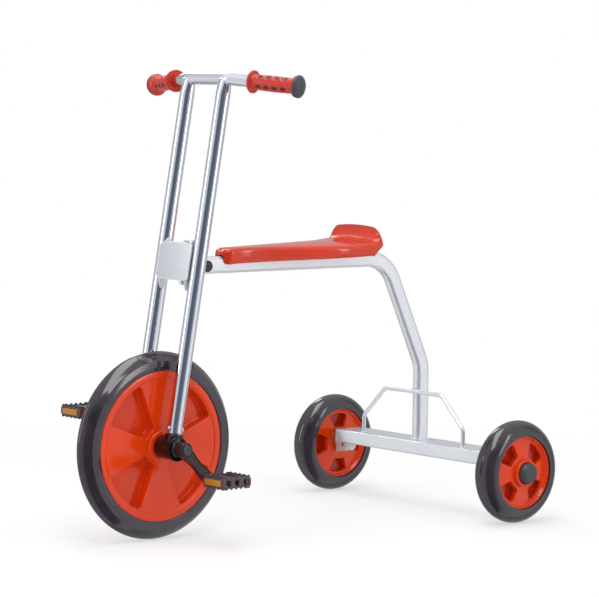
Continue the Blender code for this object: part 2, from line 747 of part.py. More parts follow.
def build_housing(word, side, mats, steering):
    # A cylinder round the axle, with a collar and a spigot that carry the fork leg.
    axle = (0, LEG_Y, 0)
    lip = 0.0035
    profile = [
        (HOUSING_IN, 0),
        (HOUSING_IN, HOUSING_RADIUS - 0.001),
        (HOUSING_IN + 0.001, HOUSING_RADIUS),
        (HOUSING_OUT - 2 * lip, HOUSING_RADIUS),
        (HOUSING_OUT - 2 * lip, HOUSING_RADIUS + 0.0012),
        (HOUSING_OUT - lip, HOUSING_RADIUS + 0.0012),
        (HOUSING_OUT, HOUSING_RADIUS - 0.002),
        (HOUSING_OUT, 0),
    ]
    shell = turned([(side * x, r) for x, r in profile], ROUND_SIDES)
    housing = make_object(f"bearing_housing_{word}", shell, mats["black"], steering, axle)
    leg = (side * LEG_X, LEG_Y, 0)
    join(housing, f"collar_{word}", rod(0.008, COLLAR_TOP, COLLAR_RADIUS, ROUND_SIDES, "Z"), leg)
    bore = LEG_BORE - GAP
    socket = rod(LEG_START - GAP, COLLAR_TOP + 0.01, LEG_RADIUS + GAP, ROUND_SIDES, "Z")
    cut(housing, f"socket_{word}", socket, leg)
    join(housing, f"spigot_{word}", rod(0.016, SPIGOT_TOP, bore, ROUND_SIDES, "Z"), leg)
    low, high = sorted((side * (HOUSING_IN - 0.005), side * (HOUSING_OUT + 0.005)))
    cut(housing, f"bore_{word}", rod(low, high, HOUSING_BORE + GAP, ROUND_SIDES), axle)
    spot = (side * LEG_X, LEG_Y, LEG_BOLT_ALONG)
    cut(housing, f"spigot_hole_{word}", rod(-0.02, 0.02, BOLT_RADIUS + GAP, BOLT_SIDES, "Y"), spot)
    outer = HOUSING_OUT - 0.001
    inner = FRONT_AXLE_RADIUS + RUNNING_GAP
    low, high = side * (outer - BEARING_LENGTH), side * outer
    bearing = sleeve(low, high, inner, HOUSING_BORE, ROUND_SIDES)
    make_object(f"hub_bearing_{word}", bearing, mats["steel"], steering, axle)


def build_grip(word, mats, steering, start, turn):
    bore = BAR_RADIUS + GAP
    profile = [
        (0, bore),
        (0, GRIP_FLANGE_RADIUS - 0.0015),
        (0.0015, GRIP_FLANGE_RADIUS),
        (GRIP_FLANGE - 0.0015, GRIP_FLANGE_RADIUS),
        (GRIP_FLANGE, GRIP_RADIUS + 0.002),
        (GRIP_FLANGE + 0.003, GRIP_RADIUS - 0.0005),
        (GRIP_LENGTH / 2, GRIP_RADIUS + 0.0008),
        (GRIP_LENGTH - GRIP_LIP - 0.003, GRIP_RADIUS - 0.0005),
        (GRIP_LENGTH - GRIP_LIP, GRIP_LIP_RADIUS - 0.0015),
        (GRIP_LENGTH - GRIP_LIP + 0.001, GRIP_LIP_RADIUS),
        (GRIP_LENGTH, GRIP_LIP_RADIUS),
        (GRIP_LENGTH, bore),
    ]
    make_object(f"grip_{word}", turned(profile, ROUND_SIDES, ring=True), mats["red"], steering, start, turn)
    plug = BAR_RADIUS - BAR_WALL - GAP
    base = GRIP_LENGTH + GAP
    profile = [
        (GRIP_LENGTH - END_PLUG, 0),
        (GRIP_LENGTH - END_PLUG, plug),
        (base, plug),
        (base, END_RADIUS - 0.002),
        (base + 0.002, END_RADIUS),
        (base + END_LENGTH * 0.45, END_RADIUS - 0.001),
        (base + END_LENGTH * 0.8, END_RADIUS * 0.72),
        (base + END_LENGTH, END_RADIUS * 0.35),
        (base + END_LENGTH, 0),
    ]
    make_object(f"grip_end_{word}", turned(profile, ROUND_SIDES), mats["grey"], steering, start, turn)


def build_bracket(mats, steering):
    # A plate across the legs' fronts with two cheeks along their inner sides. Its two flanges
    # reach back between the legs and hold the pivot bolt above and below the head tube.
    back = LEG_Y - LEG_RADIUS - GAP
    front = back - BRACKET_PLATE
    low, high = HEAD_ALONG - BRACKET_DROP, HEAD_ALONG + BRACKET_RISE
    stack = HEAD_TUBE_LENGTH / 2 + 2 * GAP + HEAD_FLANGE
    top = stack + BRACKET_PLATE
    face = [(z + (low + high) / 2, x) for z, x in box_section(high - low, 2 * BRACKET_HALF, BRACKET_CORNER)]
    bracket = make_object("head_bracket", prism(face, front, back, "Y"), mats["steel"], steering)
    overlap = BRACKET_PLATE / 2
    nose = BRACKET_FLANGE_RADIUS
    wide = BRACKET_FLANGE_HALF
    outline = [(wide, back - overlap), (wide, LEG_Y)]
    outline += arc(nose, radians(20), radians(160), 8)
    outline += [(-wide, LEG_Y), (-wide, back - overlap)]
    for word, side in (("upper", 1), ("lower", -1)):
        base, edge = sorted((HEAD_ALONG + side * stack, HEAD_ALONG + side * top))
        join(bracket, f"flange_{word}", prism(outline, base, edge, "Z"))
    outer = LEG_X - LEG_RADIUS - GAP
    foot, crown = HEAD_ALONG - CHEEK_DROP, HEAD_ALONG + CHEEK_RISE
    for word, side in (("left", 1), ("right", -1)):
        near, far = sorted((side * (outer - BRACKET_PLATE), side * outer))
        cheek = block((near, back - overlap, foot), (far, LEG_Y - CHEEK_BEHIND, crown))
        join(bracket, f"cheek_{word}", cheek)
    long = HEAD_ALONG + 2 * top
    cut(bracket, "pivot_hole", rod(HEAD_ALONG - 2 * top, long, PIVOT_RADIUS + GAP, FINE_SIDES, "Z"))
    seat = HEAD_ALONG + top + GAP
    crown = seat + PIVOT_HEAD_LENGTH
    end = HEAD_ALONG - top - GAP - PIVOT_HEAD_LENGTH - PIVOT_END
    profile = [(end, 0), (end, PIVOT_RADIUS), (seat, PIVOT_RADIUS), (seat, PIVOT_HEAD_RADIUS)]
    profile += [(crown - 0.001, PIVOT_HEAD_RADIUS), (crown, PIVOT_HEAD_RADIUS - 0.001), (crown, 0)]
    make_object("pivot_bolt", turned(profile, FINE_SIDES, "Z"), mats["zinc"], steering)
    low = HEAD_ALONG - top - GAP - PIVOT_HEAD_LENGTH
    nut = sleeve(low, HEAD_ALONG - top - GAP, PIVOT_RADIUS + GAP, PIVOT_HEAD_RADIUS, FINE_SIDES, "Z")
    make_object("pivot_nut", nut, mats["zinc"], steering)


def build_crank(word, side, mats, wheel):
    angle = CRANK_ANGLE if side > 0 else CRANK_ANGLE + pi
    eye_y, eye_z = CRANK_LENGTH * cos(angle), CRANK_LENGTH * sin(angle)
    middle = (CRANK_IN + CRANK_OUT) / 2
    half = CRANK_THICKNESS / 2
    bm = bmesh.new()
    eye_middle = middle + CRANK_FLARE
    ends = [(middle, CRANK_BOSS_RADIUS - 0.0015, 0, 0), (eye_middle, CRANK_EYE_RADIUS, eye_y, eye_z)]
    for x, radius, y, z in ends:
        for a, b in round_section(radius, FINE_SIDES):
            for depth in (x - half, x + half):
                bm.verts.new((side * depth, y + a, z + b))
    bmesh.ops.convex_hull(bm, input=bm.verts)
    crank = make_object(f"crank_{word}", bm, mats["black"], wheel)
    boss = rod(side * CRANK_IN, side * CRANK_OUT, CRANK_BOSS_RADIUS, ROUND_SIDES)
    join(crank, f"crank_boss_{word}", boss)
    hole_in, hole_out = side * (CRANK_IN - 0.005), side * (CRANK_OUT + 0.005)
    axle_hole = rod(hole_in, hole_out, FRONT_AXLE_RADIUS + GAP, ROUND_SIDES)
    cut(crank, f"crank_bore_{word}", axle_hole)
    eye = (0, eye_y, eye_z)
    eye_in, eye_out = side * (eye_middle - half), side * (eye_middle + half)
    eye_hole = rod(eye_in - side * 0.01, eye_out + side * 0.01, SPINDLE_RADIUS + GAP)
    cut(crank, f"crank_eye_{word}", eye_hole, eye)
    cap_in, cap_out = CRANK_OUT - 0.0015, CRANK_OUT + CRANK_CAP_LENGTH
    profile = [(cap_in, 0), (cap_in, CRANK_CAP_RADIUS), (cap_out - 0.001, CRANK_CAP_RADIUS)]
    profile += [(cap_out, CRANK_CAP_RADIUS - 0.0015), (cap_out, 0)]
    cap = turned([(side * x, r) for x, r in profile], FINE_SIDES)
    make_object(f"crank_cap_{word}", cap, mats["grey"], wheel)
    collar_in = eye_middle + half + GAP
    collar_out = collar_in + SPINDLE_COLLAR_LENGTH
    end = PEDAL_IN + PEDAL_WIDTH - PEDAL_FRAME
    start = eye_middle - half
    profile = [(start, 0), (start, SPINDLE_RADIUS), (collar_in, SPINDLE_RADIUS)]
    profile += [(collar_in, SPINDLE_COLLAR_RADIUS), (collar_out, SPINDLE_COLLAR_RADIUS)]
    profile += [(collar_out, SPINDLE_RADIUS), (end, SPINDLE_RADIUS), (end, 0)]
    spindle = turned([(side * x, r) for x, r in profile], FINE_SIDES)
    make_object(f"pedal_spindle_{word}", spindle, mats["steel"], wheel, eye)
    build_pedal(word, side, mats, wheel, eye)


def build_pedal(word, side, mats, wheel, eye):
    axis = make_empty(f"{word}_pedal_axis", eye, wheel)
    half_y, half_z = PEDAL_LENGTH / 2, PEDAL_HEIGHT / 2
    inside, outside = PEDAL_IN, PEDAL_IN + PEDAL_WIDTH
    low, high = sorted((side * inside, side * outside))
    body = bevel_all(block((low, -half_y, -half_z), (high, half_y, half_z)), 0.0035)
    pedal = make_object(f"pedal_{word}", body, mats["black"], axis)
    depth = PEDAL_HEIGHT
    window_low, window_high = sorted((side * (inside + PEDAL_FRAME), side * (outside - PEDAL_FRAME)))
    for end in (-1, 1):
        a, b = sorted((end * PEDAL_BARREL_HALF, end * (half_y - PEDAL_FRAME)))
        cut(pedal, f"pedal_window_{word}_{end}", block((window_low, a, -depth), (window_high, b, depth)))
        middle = side * (inside + outside) / 2
        wide, tall = REFLECTOR_WIDTH / 2, REFLECTOR_HEIGHT / 2
        face = end * (half_y - REFLECTOR_SINK)
        a, b = sorted((face, end * (half_y + 0.01)))
        pocket = block((middle - wide - GAP, a, -tall - GAP), (middle + wide + GAP, b, tall + GAP))
        cut(pedal, f"reflector_pocket_{word}_{end}", pocket)
        a, b = sorted((face + end * GAP, face + end * (GAP + REFLECTOR_DEPTH)))
        lens = block((middle - wide, a, -tall), (middle + wide, b, tall))
        place = "front" if end < 0 else "rear"
        make_object(f"reflector_{word}_{place}", lens, mats["amber"], axis)
    bore_end = outside - PEDAL_FRAME + RUNNING_GAP
    bore = rod(side * (inside - 0.01), side * bore_end, SPINDLE_RADIUS + RUNNING_GAP, FINE_SIDES)
    cut(pedal, f"pedal_bore_{word}", bore)


def build_front_wheel(mats, steering):
    unlean = Matrix.Rotation(FORK_LEAN, 4, "X")
    wheel = make_empty("front_wheel_axis", (0, LEG_Y, 0), steering, unlean)
    build_tyre_front(mats, wheel)
    build_disc_front(mats, wheel)
    reach = CRANK_OUT - 0.0018
    make_object("front_axle", rod(-reach, reach, FRONT_AXLE_RADIUS, ROUND_SIDES), mats["steel"], wheel)
    for word, side in (("left", 1), ("right", -1)):
        build_crank(word, side, mats, wheel)


def smooth(value):
    value = min(max(value, 0), 1)
    return value * value * (3 - 2 * value)


def seat_section(y, inset):
    # One cross-section of the seat, from its lower right edge over the top to its lower left edge.
    share = y / SEAT_LENGTH
    widen = smooth((share - SEAT_FLARE[0]) / (SEAT_FLARE[1] - SEAT_FLARE[0]))
    half = SEAT_NOSE_HALF + (SEAT_REAR_HALF - SEAT_NOSE_HALF) * widen
    nose = min((y - inset) / SEAT_NOSE_ROUND, 1)
    blunt = 1 - sqrt(max(1 - (1 - nose) ** 2, 0))
    half = (half - inset) * (1 - (1 - SEAT_NOSE_FRONT) * blunt)
    top = SEAT_NOSE_TOP + (SEAT_REAR_TOP - SEAT_NOSE_TOP) * share - inset - SEAT_NOSE_DROP * blunt
    bottom = SEAT_NOSE_TOP - SEAT_BOTTOM_DROP + SEAT_BOTTOM_RISE * share + SEAT_NOSE_LIFT * blunt
    lip_start = SEAT_LENGTH - SEAT_LIP_LENGTH - SEAT_LIP_TOP
    swell = SEAT_SWELL * smooth((y - lip_start + SEAT_SWELL_LENGTH) / SEAT_SWELL_LENGTH)
    climb = 0 if inset else min(max((y - lip_start) / SEAT_LIP_LENGTH, 0), 1)
    lip = swell + SEAT_LIP_HEIGHT * (1 - sqrt(1 - climb ** 2))
    corner = min(SEAT_CORNER, half * 0.6)
    straight = 1 - corner / half
    points = []
    for q in (1, 0.97, 0.88, 0.76, 0.6, 0.3, 0):
        over = max(0, (q - straight) / (1 - straight))
        drop = corner * (1 - sqrt(max(1 - over ** 2, 0)))
        fall = max(0, (q - SEAT_LIP_FULL) / (1 - SEAT_LIP_FULL)) ** 2.4
        points.append((half * q, top - drop + lip * (1 - fall) - SEAT_CROWN * widen * q * q))
    side_z = points[0][1]
    low = bottom - 0.02 if inset else bottom
    flank = [(half - SEAT_TAPER * (0.7 if inset else 1), low), (half, bottom + (side_z - bottom) * 0.45)]
    right = flank + points
    return right + [(-x, z) for x, z in reversed(right[:-1])]


def seat_form(inset):
    lip_start = SEAT_LENGTH - SEAT_LIP_LENGTH - SEAT_LIP_TOP
    nose_end = SEAT_NOSE_ROUND * 1.6
    stations = [SEAT_NOSE_ROUND * share for share in (0, 0.12, 0.4, 0.9)]
    stations += [nose_end + (lip_start - nose_end) * i / 8 for i in range(9)]
    stations += [lip_start + SEAT_LIP_LENGTH * share for share in (0.5, 0.8, 0.95, 1)] + [SEAT_LENGTH]
    span = SEAT_LENGTH - 2 * inset
    bm = bmesh.new()
    rows = []
    for station in stations:
        y = inset + station * span / SEAT_LENGTH
        near_end = smooth((y - SEAT_LENGTH + SEAT_TUCK_LENGTH) / SEAT_TUCK_LENGTH)
        row = []
        for x, z in seat_section(y, inset):
            tuck = SEAT_TUCK * near_end * smooth((SEAT_TUCK_TOP - z) / SEAT_TUCK_HEIGHT)
            row.append(bm.verts.new((x, SEAT_FRONT_Y + y - tuck, z)))
        rows.append(row)
    count = len(rows[0])
    for low, high in zip(rows, rows[1:]):
        for i in range(count):
            j = (i + 1) % count
            bm.faces.new((low[i], low[j], high[j], high[i]))
    # The rear end is not flat, so both ends are closed by strips from side to side.
    middle = count // 2
    for row in (rows[0], rows[-1]):
        for i in range(middle - 2):
            bm.faces.new((row[i], row[i + 1], row[-2 - i], row[-1 - i]))
        bm.faces.new(row[middle - 2:middle + 3])
    return bm


def build_seat(mats):
    seat = make_object("seat_shell", seat_form(0), mats["red"])
    cut(seat, "seat_hollow", seat_form(SEAT_WALL))
    tube_top = BACKBONE_Z + TUBE_DEPTH / 2
    side = TUBE_WIDTH / 2 + SEAT_CLEAR
    low = (-side, SEAT_FRONT_Y - 0.02, tube_top - 0.05)
    high = (side, SEAT_FRONT_Y + SEAT_LENGTH + 0.02, tube_top + SEAT_CLEAR)
    cut(seat, "seat_notch", block(low, high))
    for word, ahead, half in zip(("front", "rear"), SEAT_BRACKETS, SEAT_BRACKET_HALF):
        ahead *= SEAT_LENGTH
        y = SEAT_FRONT_Y + ahead
        base = tube_top + GAP
        level = base + SEAT_BRACKET_HEIGHT
        outline = seat_section(ahead, 0)
        boss_top = outline[len(outline) // 2][1] - SEAT_WALL / 2
        boss = rod(level + GAP, boss_top, SEAT_BOSS_RADIUS, FINE_SIDES, "Z")
        join(seat, f"seat_boss_{word}", boss, (0, y, 0))
        screw_top = level + SEAT_SCREW_LENGTH - SEAT_BRACKET_PLATE
        screw_hole = rod(level - 0.01, screw_top + GAP, SEAT_SCREW_RADIUS + GAP, BOLT_SIDES, "Z")
        cut(seat, f"boss_hole_{word}", screw_hole, (0, y, 0))
        build_seat_bracket(word, mats, y, half, base, level)


def build_seat_bracket(word, mats, y, half, base, level):
    # A low bridge of folded plate on top of the tube, screwed to the seat from below.
    plate = SEAT_BRACKET_PLATE
    length = SEAT_BRACKET_LENGTH / 2
    foot = TUBE_WIDTH / 2 - TUBE_CORNER + 0.006
    outline = [(-half, level - plate), (-foot, level - plate), (-foot, base), (-foot + plate, base)]
    outline += [(-foot + plate, level - plate), (foot - plate, level - plate), (foot - plate, base)]
    outline += [(foot, base), (foot, level - plate), (half, level - plate), (half, level), (-half, level)]
    swapped = [(z, x) for x, z in outline]
    bm = prism(swapped, -length, length, "Y")
    bracket = make_object(f"seat_bracket_{word}", bm, mats["zinc"], None, (0, y, 0))
    hole = rod(level - 0.006, level + 0.006, SEAT_SCREW_RADIUS + GAP, BOLT_SIDES, "Z")
    cut(bracket, f"bracket_hole_{word}", hole, (0, y, 0))
    seat = level - plate - GAP
    head = seat - SEAT_SCREW_HEAD_LENGTH
    top = level + SEAT_SCREW_LENGTH - plate
    profile = [(head, 0), (head, SEAT_SCREW_HEAD_RADIUS), (seat, SEAT_SCREW_HEAD_RADIUS)]
    profile += [(seat, SEAT_SCREW_RADIUS), (top, SEAT_SCREW_RADIUS), (top, 0)]
    screw = turned(profile, BOLT_SIDES, "Z")
    make_object(f"seat_screw_{word}", screw, mats["steel"], None, (0, y, 0))


def main():
    clear_scene()
    mats = build_materials()
    build_backbone(mats)
    build_head(mats)
    build_stops(mats)
    build_beam(mats)
    build_rail(mats)
    build_seat(mats)
    for word, side in (("left", 1), ("right", -1)):
        build_stub(word, side, mats)
        build_rear_wheel(word, side, mats)
    steering = make_empty("steering_axis", STEER_BASE, None, LEAN)
    build_fork(mats, steering)
    build_front_wheel(mats, steering)


main()
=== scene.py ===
import json
from math import asin, atan2, cos, hypot, pi, radians, sin, sqrt, tan

import bmesh
import bpy
from mathutils import Matrix, Vector


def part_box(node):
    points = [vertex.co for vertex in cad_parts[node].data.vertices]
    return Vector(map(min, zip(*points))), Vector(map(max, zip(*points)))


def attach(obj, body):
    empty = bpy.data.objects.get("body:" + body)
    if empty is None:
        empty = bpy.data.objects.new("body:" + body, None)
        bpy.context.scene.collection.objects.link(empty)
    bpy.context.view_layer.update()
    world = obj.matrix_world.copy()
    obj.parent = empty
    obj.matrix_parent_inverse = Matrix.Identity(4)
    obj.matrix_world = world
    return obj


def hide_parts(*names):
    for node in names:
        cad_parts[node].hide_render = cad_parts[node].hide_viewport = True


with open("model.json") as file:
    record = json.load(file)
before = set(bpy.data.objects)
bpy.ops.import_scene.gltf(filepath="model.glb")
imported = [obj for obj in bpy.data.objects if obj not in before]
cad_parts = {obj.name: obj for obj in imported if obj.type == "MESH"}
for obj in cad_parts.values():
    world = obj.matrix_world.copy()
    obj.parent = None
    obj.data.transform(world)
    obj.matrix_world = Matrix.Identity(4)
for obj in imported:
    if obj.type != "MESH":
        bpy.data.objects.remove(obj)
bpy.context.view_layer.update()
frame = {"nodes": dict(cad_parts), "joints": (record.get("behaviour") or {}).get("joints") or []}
joints = {joint["name"]: joint for joint in frame["joints"]}
print("frame loaded")

# Where the tricycle's moving parts turn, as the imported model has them.
wheelSpot = Vector(joints["front_wheel_spin"]["pos_m"])
steerSpot = Vector(joints["steering"]["pos_m"])
steerAxis = Vector(joints["steering"]["axis"])
lean = atan2(steerAxis.y, steerAxis.z)
forkPlace = Matrix.Translation(steerSpot) @ Matrix.Rotation(-lean, 4, "X")
wheelPlace = Matrix.Translation(wheelSpot)
alongY = Matrix.Rotation(radians(90), 4, "Z")
alongZ = Matrix.Rotation(radians(-90), 4, "Y")
words = (("left", 1), ("right", -1))


# Helpers for shapes


def smoothStep(value):
    value = min(max(value, 0), 1)
    return value * value * (3 - 2 * value)


def arc(radius, start, turn, steps):
    angles = [start + turn * k / steps for k in range(steps + 1)]
    return [(radius * cos(angle), radius * sin(angle)) for angle in angles]


def ringOf(radius, sides):
    return arc(radius, 0, 2 * pi, sides)[:-1]


def shifted(points, a, b):
    return [(a + x, b + y) for x, y in points]


def softened(points, steps=4, closed=True):
    # Rounds each corner (a, b, radius) of an outline with an arc.
    out, count = [], len(points)
    for i, (a, b, radius) in enumerate(points):
        if radius <= 0 or (not closed and i in (0, count - 1)):
            out.append((a, b))
            continue
        here = Vector((a, b))
        back = Vector(points[i - 1][:2]) - here
        ahead = Vector(points[(i + 1) % count][:2]) - here
        half = back.angle(ahead) / 2
        reach = min(radius / tan(half), back.length * 0.49, ahead.length * 0.49)
        real = reach * tan(half)
        middle = here + (back.normalized() + ahead.normalized()).normalized() * (real / sin(half))
        start = here + back.normalized() * reach - middle
        end = here + ahead.normalized() * reach - middle
        first = atan2(start.y, start.x)
        turn = (atan2(end.y, end.x) - first + pi) % (2 * pi) - pi
        out += shifted(arc(real, first, turn, steps), middle.x, middle.y)
    return out


def boxOutline(width, depth, corner, steps=5):
    a, b = width / 2, depth / 2
    return softened([(a, b, corner), (-a, b, corner), (-a, -b, corner), (a, -b, corner)], steps)


def skinned(bm, rings, wrap=False):
    # Joins rings of points with quads and gives their vertices back.
    rows = [[bm.verts.new(point) for point in ring] for ring in rings]
    for low, high in list(zip(rows, rows[1:])) + ([(rows[-1], rows[0])] if wrap else []):
        for i in range(len(low)):
            j = (i + 1) % len(low)
            bm.faces.new((low[i], low[j], high[j], high[i]))
    return rows


def loft(rings, wrap=False):
    bm = bmesh.new()
    rows = skinned(bm, rings, wrap)
    if not wrap:
        bm.faces.new(rows[0])
        bm.faces.new(rows[-1])
    return bm


def turned(profile, sides, wrap=False):
    # A lathe along X. The profile holds (along, radius), and radius 0 is a pole.
    bm = bmesh.new()
    rows = []
    for along, radius in profile:
        ring = ringOf(radius, sides) if radius > 1e-7 else [(0, 0)]
        rows.append([bm.verts.new((along, a, b)) for a, b in ring])
    for low, high in list(zip(rows, rows[1:])) + ([(rows[-1], rows[0])] if wrap else []):
        for i in range(sides):
            j = (i + 1) % sides
            corners = []
            for vert in (low[i % len(low)], low[j % len(low)], high[j % len(high)], high[i % len(high)]):
                if vert not in corners:
                    corners.append(vert)
            if len(corners) > 2:
                bm.faces.new(corners)
    return bm


def lathe(profile, sides, steps=4, side=1):
    # Turns a profile with rounded corners. One that starts off the axis closes on itself as a ring.
    return turned([(side * x, r) for x, r in softened(profile, steps, False)], sides, profile[0][1] > 0)


def rodShape(low, high, radius, sides=48, soft=0.0004):
    return lathe([(low, 0, 0), (low, radius, soft), (high, radius, soft), (high, 0, 0)], sides, 3)


def swept(path, side, section, inner=None):
    # A section carried along a path. Its first axis keeps to `side`.
    side = Vector(side).normalized()
    outer, hollow = [], []
    for i, point in enumerate(path):
        back = path[max(i - 1, 0)]
        ahead = path[min(i + 1, len(path) - 1)]
        forward = ((point - back).normalized() + (ahead - point).normalized()).normalized()
        up = forward.cross(side).normalized()
        across = up.cross(forward)
        for rings, outline in ((outer, section), (hollow, inner or ())):
            rings.append([point + across * a + up * b for a, b in outline])
    return loft(outer + hollow[::-1], True) if inner else loft(outer)


def bentPath(corners, radius, steps, run):
    # Straight runs joined by arcs, with extra points along each run, `run` apart.
    points = [Vector(corners[0])]
    for a, b, c in zip(corners, corners[1:], corners[2:]):
        a, b, c = Vector(a), Vector(b), Vector(c)
        inward, outward = (a - b).normalized(), (c - b).normalized()
        half = inward.angle(outward) / 2
        middle = b + (inward + outward).normalized() * radius / sin(half)
        first = (b + inward * radius / tan(half) - middle).normalized()
        last = (b + outward * radius / tan(half) - middle).normalized()
        square = (last - first * first.dot(last)).normalized()
        points += [middle + first * x + square * y for x, y in arc(radius, 0, first.angle(last), steps)]
    points.append(Vector(corners[-1]))
    filled = [points[0]]
    for start, end in zip(points, points[1:]):
        count = max(1, int((end - start).length / run))
        filled += [start.lerp(end, (k + 1) / count) for k in range(count)]
    return filled


def beveled(bm, edges, offset, steps):
    bmesh.ops.bevel(bm, geom=edges, offset=offset, segments=steps, affect="EDGES", profile=0.5)
    return bm


def slab(outline, low, high, axis="X", soft=0.0004, steps=2):
    # A plate of any outline, with its rims rounded over.
    turn = {"X": 0, "Y": 2, "Z": 1}[axis]
    bm = bmesh.new()
    rings = [[(level, a, b)[turn:] + (level, a, b)[:turn] for a, b in outline]
             for level in sorted((low, high))]
    rims = []
    for row in skinned(bm, rings):
        rims += list(bm.faces.new(row).edges)
    return beveled(bm, rims, soft, steps) if soft else bm


def boxed(low, high, soft=0.0006, steps=2):
    # A box between two opposite corners, in any order.
    bm = bmesh.new()
    bmesh.ops.create_cube(bm, size=1)
    for vert in bm.verts:
        vert.co = Vector([(a + b) / 2 + c * abs(b - a) for a, b, c in zip(low, high, vert.co)])
    return beveled(bm, bm.edges[:], soft, steps) if soft else bm


def hexPiece(radius, low, high, soft=0.0006):
    # A hexagon bar along X with its end corners turned off.
    bm = slab(softened([(a, b, 0.0004) for a, b in ringOf(radius, 6)], 2), low, high, "X", 0)
    rims = [edge for edge in bm.edges if abs(edge.verts[0].co.x - edge.verts[1].co.x) < 1e-7]
    return beveled(bm, rims, soft, 2)


def moved(bm, place):
    bm.transform(place)
    return bm


def mirrored(bm, side):
    return moved(bm, Matrix.Scale(-1, 4, (1, 0, 0))) if side < 0 else bm


def at(x, y, z):
    return Matrix.Translation((x, y, z))


def asObject(bm, name):
    mesh = bpy.data.meshes.new(name)
    bm.to_mesh(mesh)
    bm.free()
    item = bpy.data.objects.new(name, mesh)
    bpy.context.scene.collection.objects.link(item)
    return item


def taken(item, *helpers):
    # The shape of an object after its modifiers, as a bmesh. The object and its helpers are removed.
    mesh = bpy.data.meshes.new_from_object(item.evaluated_get(bpy.context.evaluated_depsgraph_get()))
    out = bmesh.new()
    out.from_mesh(mesh)
    bpy.data.meshes.remove(mesh)
    for old in (item, *helpers):
        data = old.data
        bpy.data.objects.remove(old)
        bpy.data.meshes.remove(data)
    return out


def merged(*shapes):
    # Several closed shapes in one mesh, each facing outwards.
    whole = bmesh.new()
    for bm in shapes:
        bmesh.ops.recalc_face_normals(bm, faces=bm.faces)
        mesh = bpy.data.meshes.new("part")
        bm.to_mesh(mesh)
        bm.free()
        whole.from_mesh(mesh)
        bpy.data.meshes.remove(mesh)
    return whole


def carved(*shapes):
    # Cuts closed shapes out of the first one.
    items = []
    for bm in shapes:
        bmesh.ops.recalc_face_normals(bm, faces=bm.faces)
        items.append(asObject(bm, "carve"))
    for tool in items[1:]:
        modifier = items[0].modifiers.new("carve", "BOOLEAN")
        modifier.operation, modifier.solver, modifier.object = "DIFFERENCE", "EXACT", tool
    return taken(*items)


def piece(name, bm, material, body, node, place=None, smooth=38):
    # A finished piece: its place goes into its mesh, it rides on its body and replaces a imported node.
    if place:
        bm.transform(place)
    bmesh.ops.recalc_face_normals(bm, faces=bm.faces)
    item = asObject(bm, name)
    item.data.shade_smooth()
    item.data.set_sharp_from_angle(angle=radians(smooth))
    item.data.materials.clear()
    item.data.materials.append(paint[material])
    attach(item, body)
    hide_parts(node)


# Materials


def feed(tree, node, inputs):
    # Gives sockets their links or plain values.
    for socket, value in inputs.items():
        if isinstance(value, bpy.types.NodeSocket):
            tree.links.new(value, node.inputs[socket])
        else:
            node.inputs[socket].default_value = value


def add(tree, kind, inputs=None, output=0, **fields):
    # Adds a node with its fields set and its sockets fed, and gives one output back, or all for None.
    node = tree.nodes.new(kind)
    for field, value in fields.items():
        setattr(node, field, value)
    feed(tree, node, inputs or {})
    return node.outputs if output is None else node.outputs[output]


def calc(tree, operation, *values):
    return add(tree, "ShaderNodeMath", dict(enumerate(values)), operation=operation)


def between(tree, value, low, high, start=0.35, end=0.65, kind="LINEAR"):
    return add(tree, "ShaderNodeMapRange", {
        "Value": value, "From Min": start, "From Max": end, "To Min": low, "To Max": high},
        interpolation_type=kind)


def noise(tree, coords, scale, detail=4, stretch=None):
    if stretch:
        coords = add(tree, "ShaderNodeMapping", {"Vector": coords, "Scale": stretch})
    return add(tree, "ShaderNodeTexNoise", {
        "Vector": coords, "Scale": scale, "Detail": detail, "Roughness": surface["noiseRoughness"]})


def tinted(tree, factor, first, second, start=0.35, end=0.65):
    blend = tree.nodes.new("ShaderNodeValToRGB")
    stops = blend.color_ramp.elements
    stops[0].position, stops[0].color = start, (*first, 1)
    stops[1].position, stops[1].color = end, (*second, 1)
    feed(tree, blend, {"Fac": factor})
    return blend.outputs["Color"]


def newMaterial(name, inputs):
    material = bpy.data.materials.new(name)
    material.use_nodes = True
    tree = material.node_tree
    shader = tree.nodes["Principled BSDF"]
    feed(tree, shader, inputs)
    return material, tree, shader, add(tree, "ShaderNodeTexCoord", output="Object")


def dress(tree, shader, color, roughness, height, strength, distance):
    bump = add(tree, "ShaderNodeBump", {"Height": height, "Strength": strength, "Distance": distance})
    feed(tree, shader, {"Base Color": color, "Roughness": roughness, "Normal": bump})


def plastic(name, look):
    # Moulded plastic: slow colour drift, handling gloss changes and a fine moulding grain, plus a darker
    # colour where a look has a hollow one: painted shade in the disc pockets, darker dimples on the grips.
    material, tree, shader, coords = newMaterial(name, {
        "IOR": 1.5, "Specular IOR Level": look.get("specular", 0.5)})
    color = tinted(tree, noise(tree, coords, surface["driftScale"]), look["color"], look["shade"])
    if "hollow" in look:  # painted shade in the disc pockets; on the grips the dimples are darker
        mark = add(tree, "ShaderNodeAttribute", output="Fac", attribute_name="dimple")
        edge = between(tree, mark, 0, 1, *surface["hollowEdge"])
        color = add(tree, "ShaderNodeMix", {0: edge, 6: color, 7: (*look["hollow"], 1)}, 2, data_type="RGBA")
    gloss = between(tree, noise(tree, coords, surface["scuffScale"], 6), *look["roughness"])
    grain = noise(tree, coords, look["grainScale"], 3)
    dress(tree, shader, color, gloss, grain, look["grain"], surface["grainDepth"])
    return material


def metal(name, look):
    # Plated or bare metal: patches of tone, long drawing marks and a little bump.
    material, tree, shader, coords = newMaterial(name, {"Metallic": 1})
    color = tinted(tree, noise(tree, coords, look["toneScale"], 5), look["color"], look["shade"])
    marks = noise(tree, coords, look["markScale"], 5, look["markStretch"])
    gloss = between(tree, marks, *look["roughness"])
    dress(tree, shader, color, gloss, marks, look["bump"], surface["markDepth"])
    return material


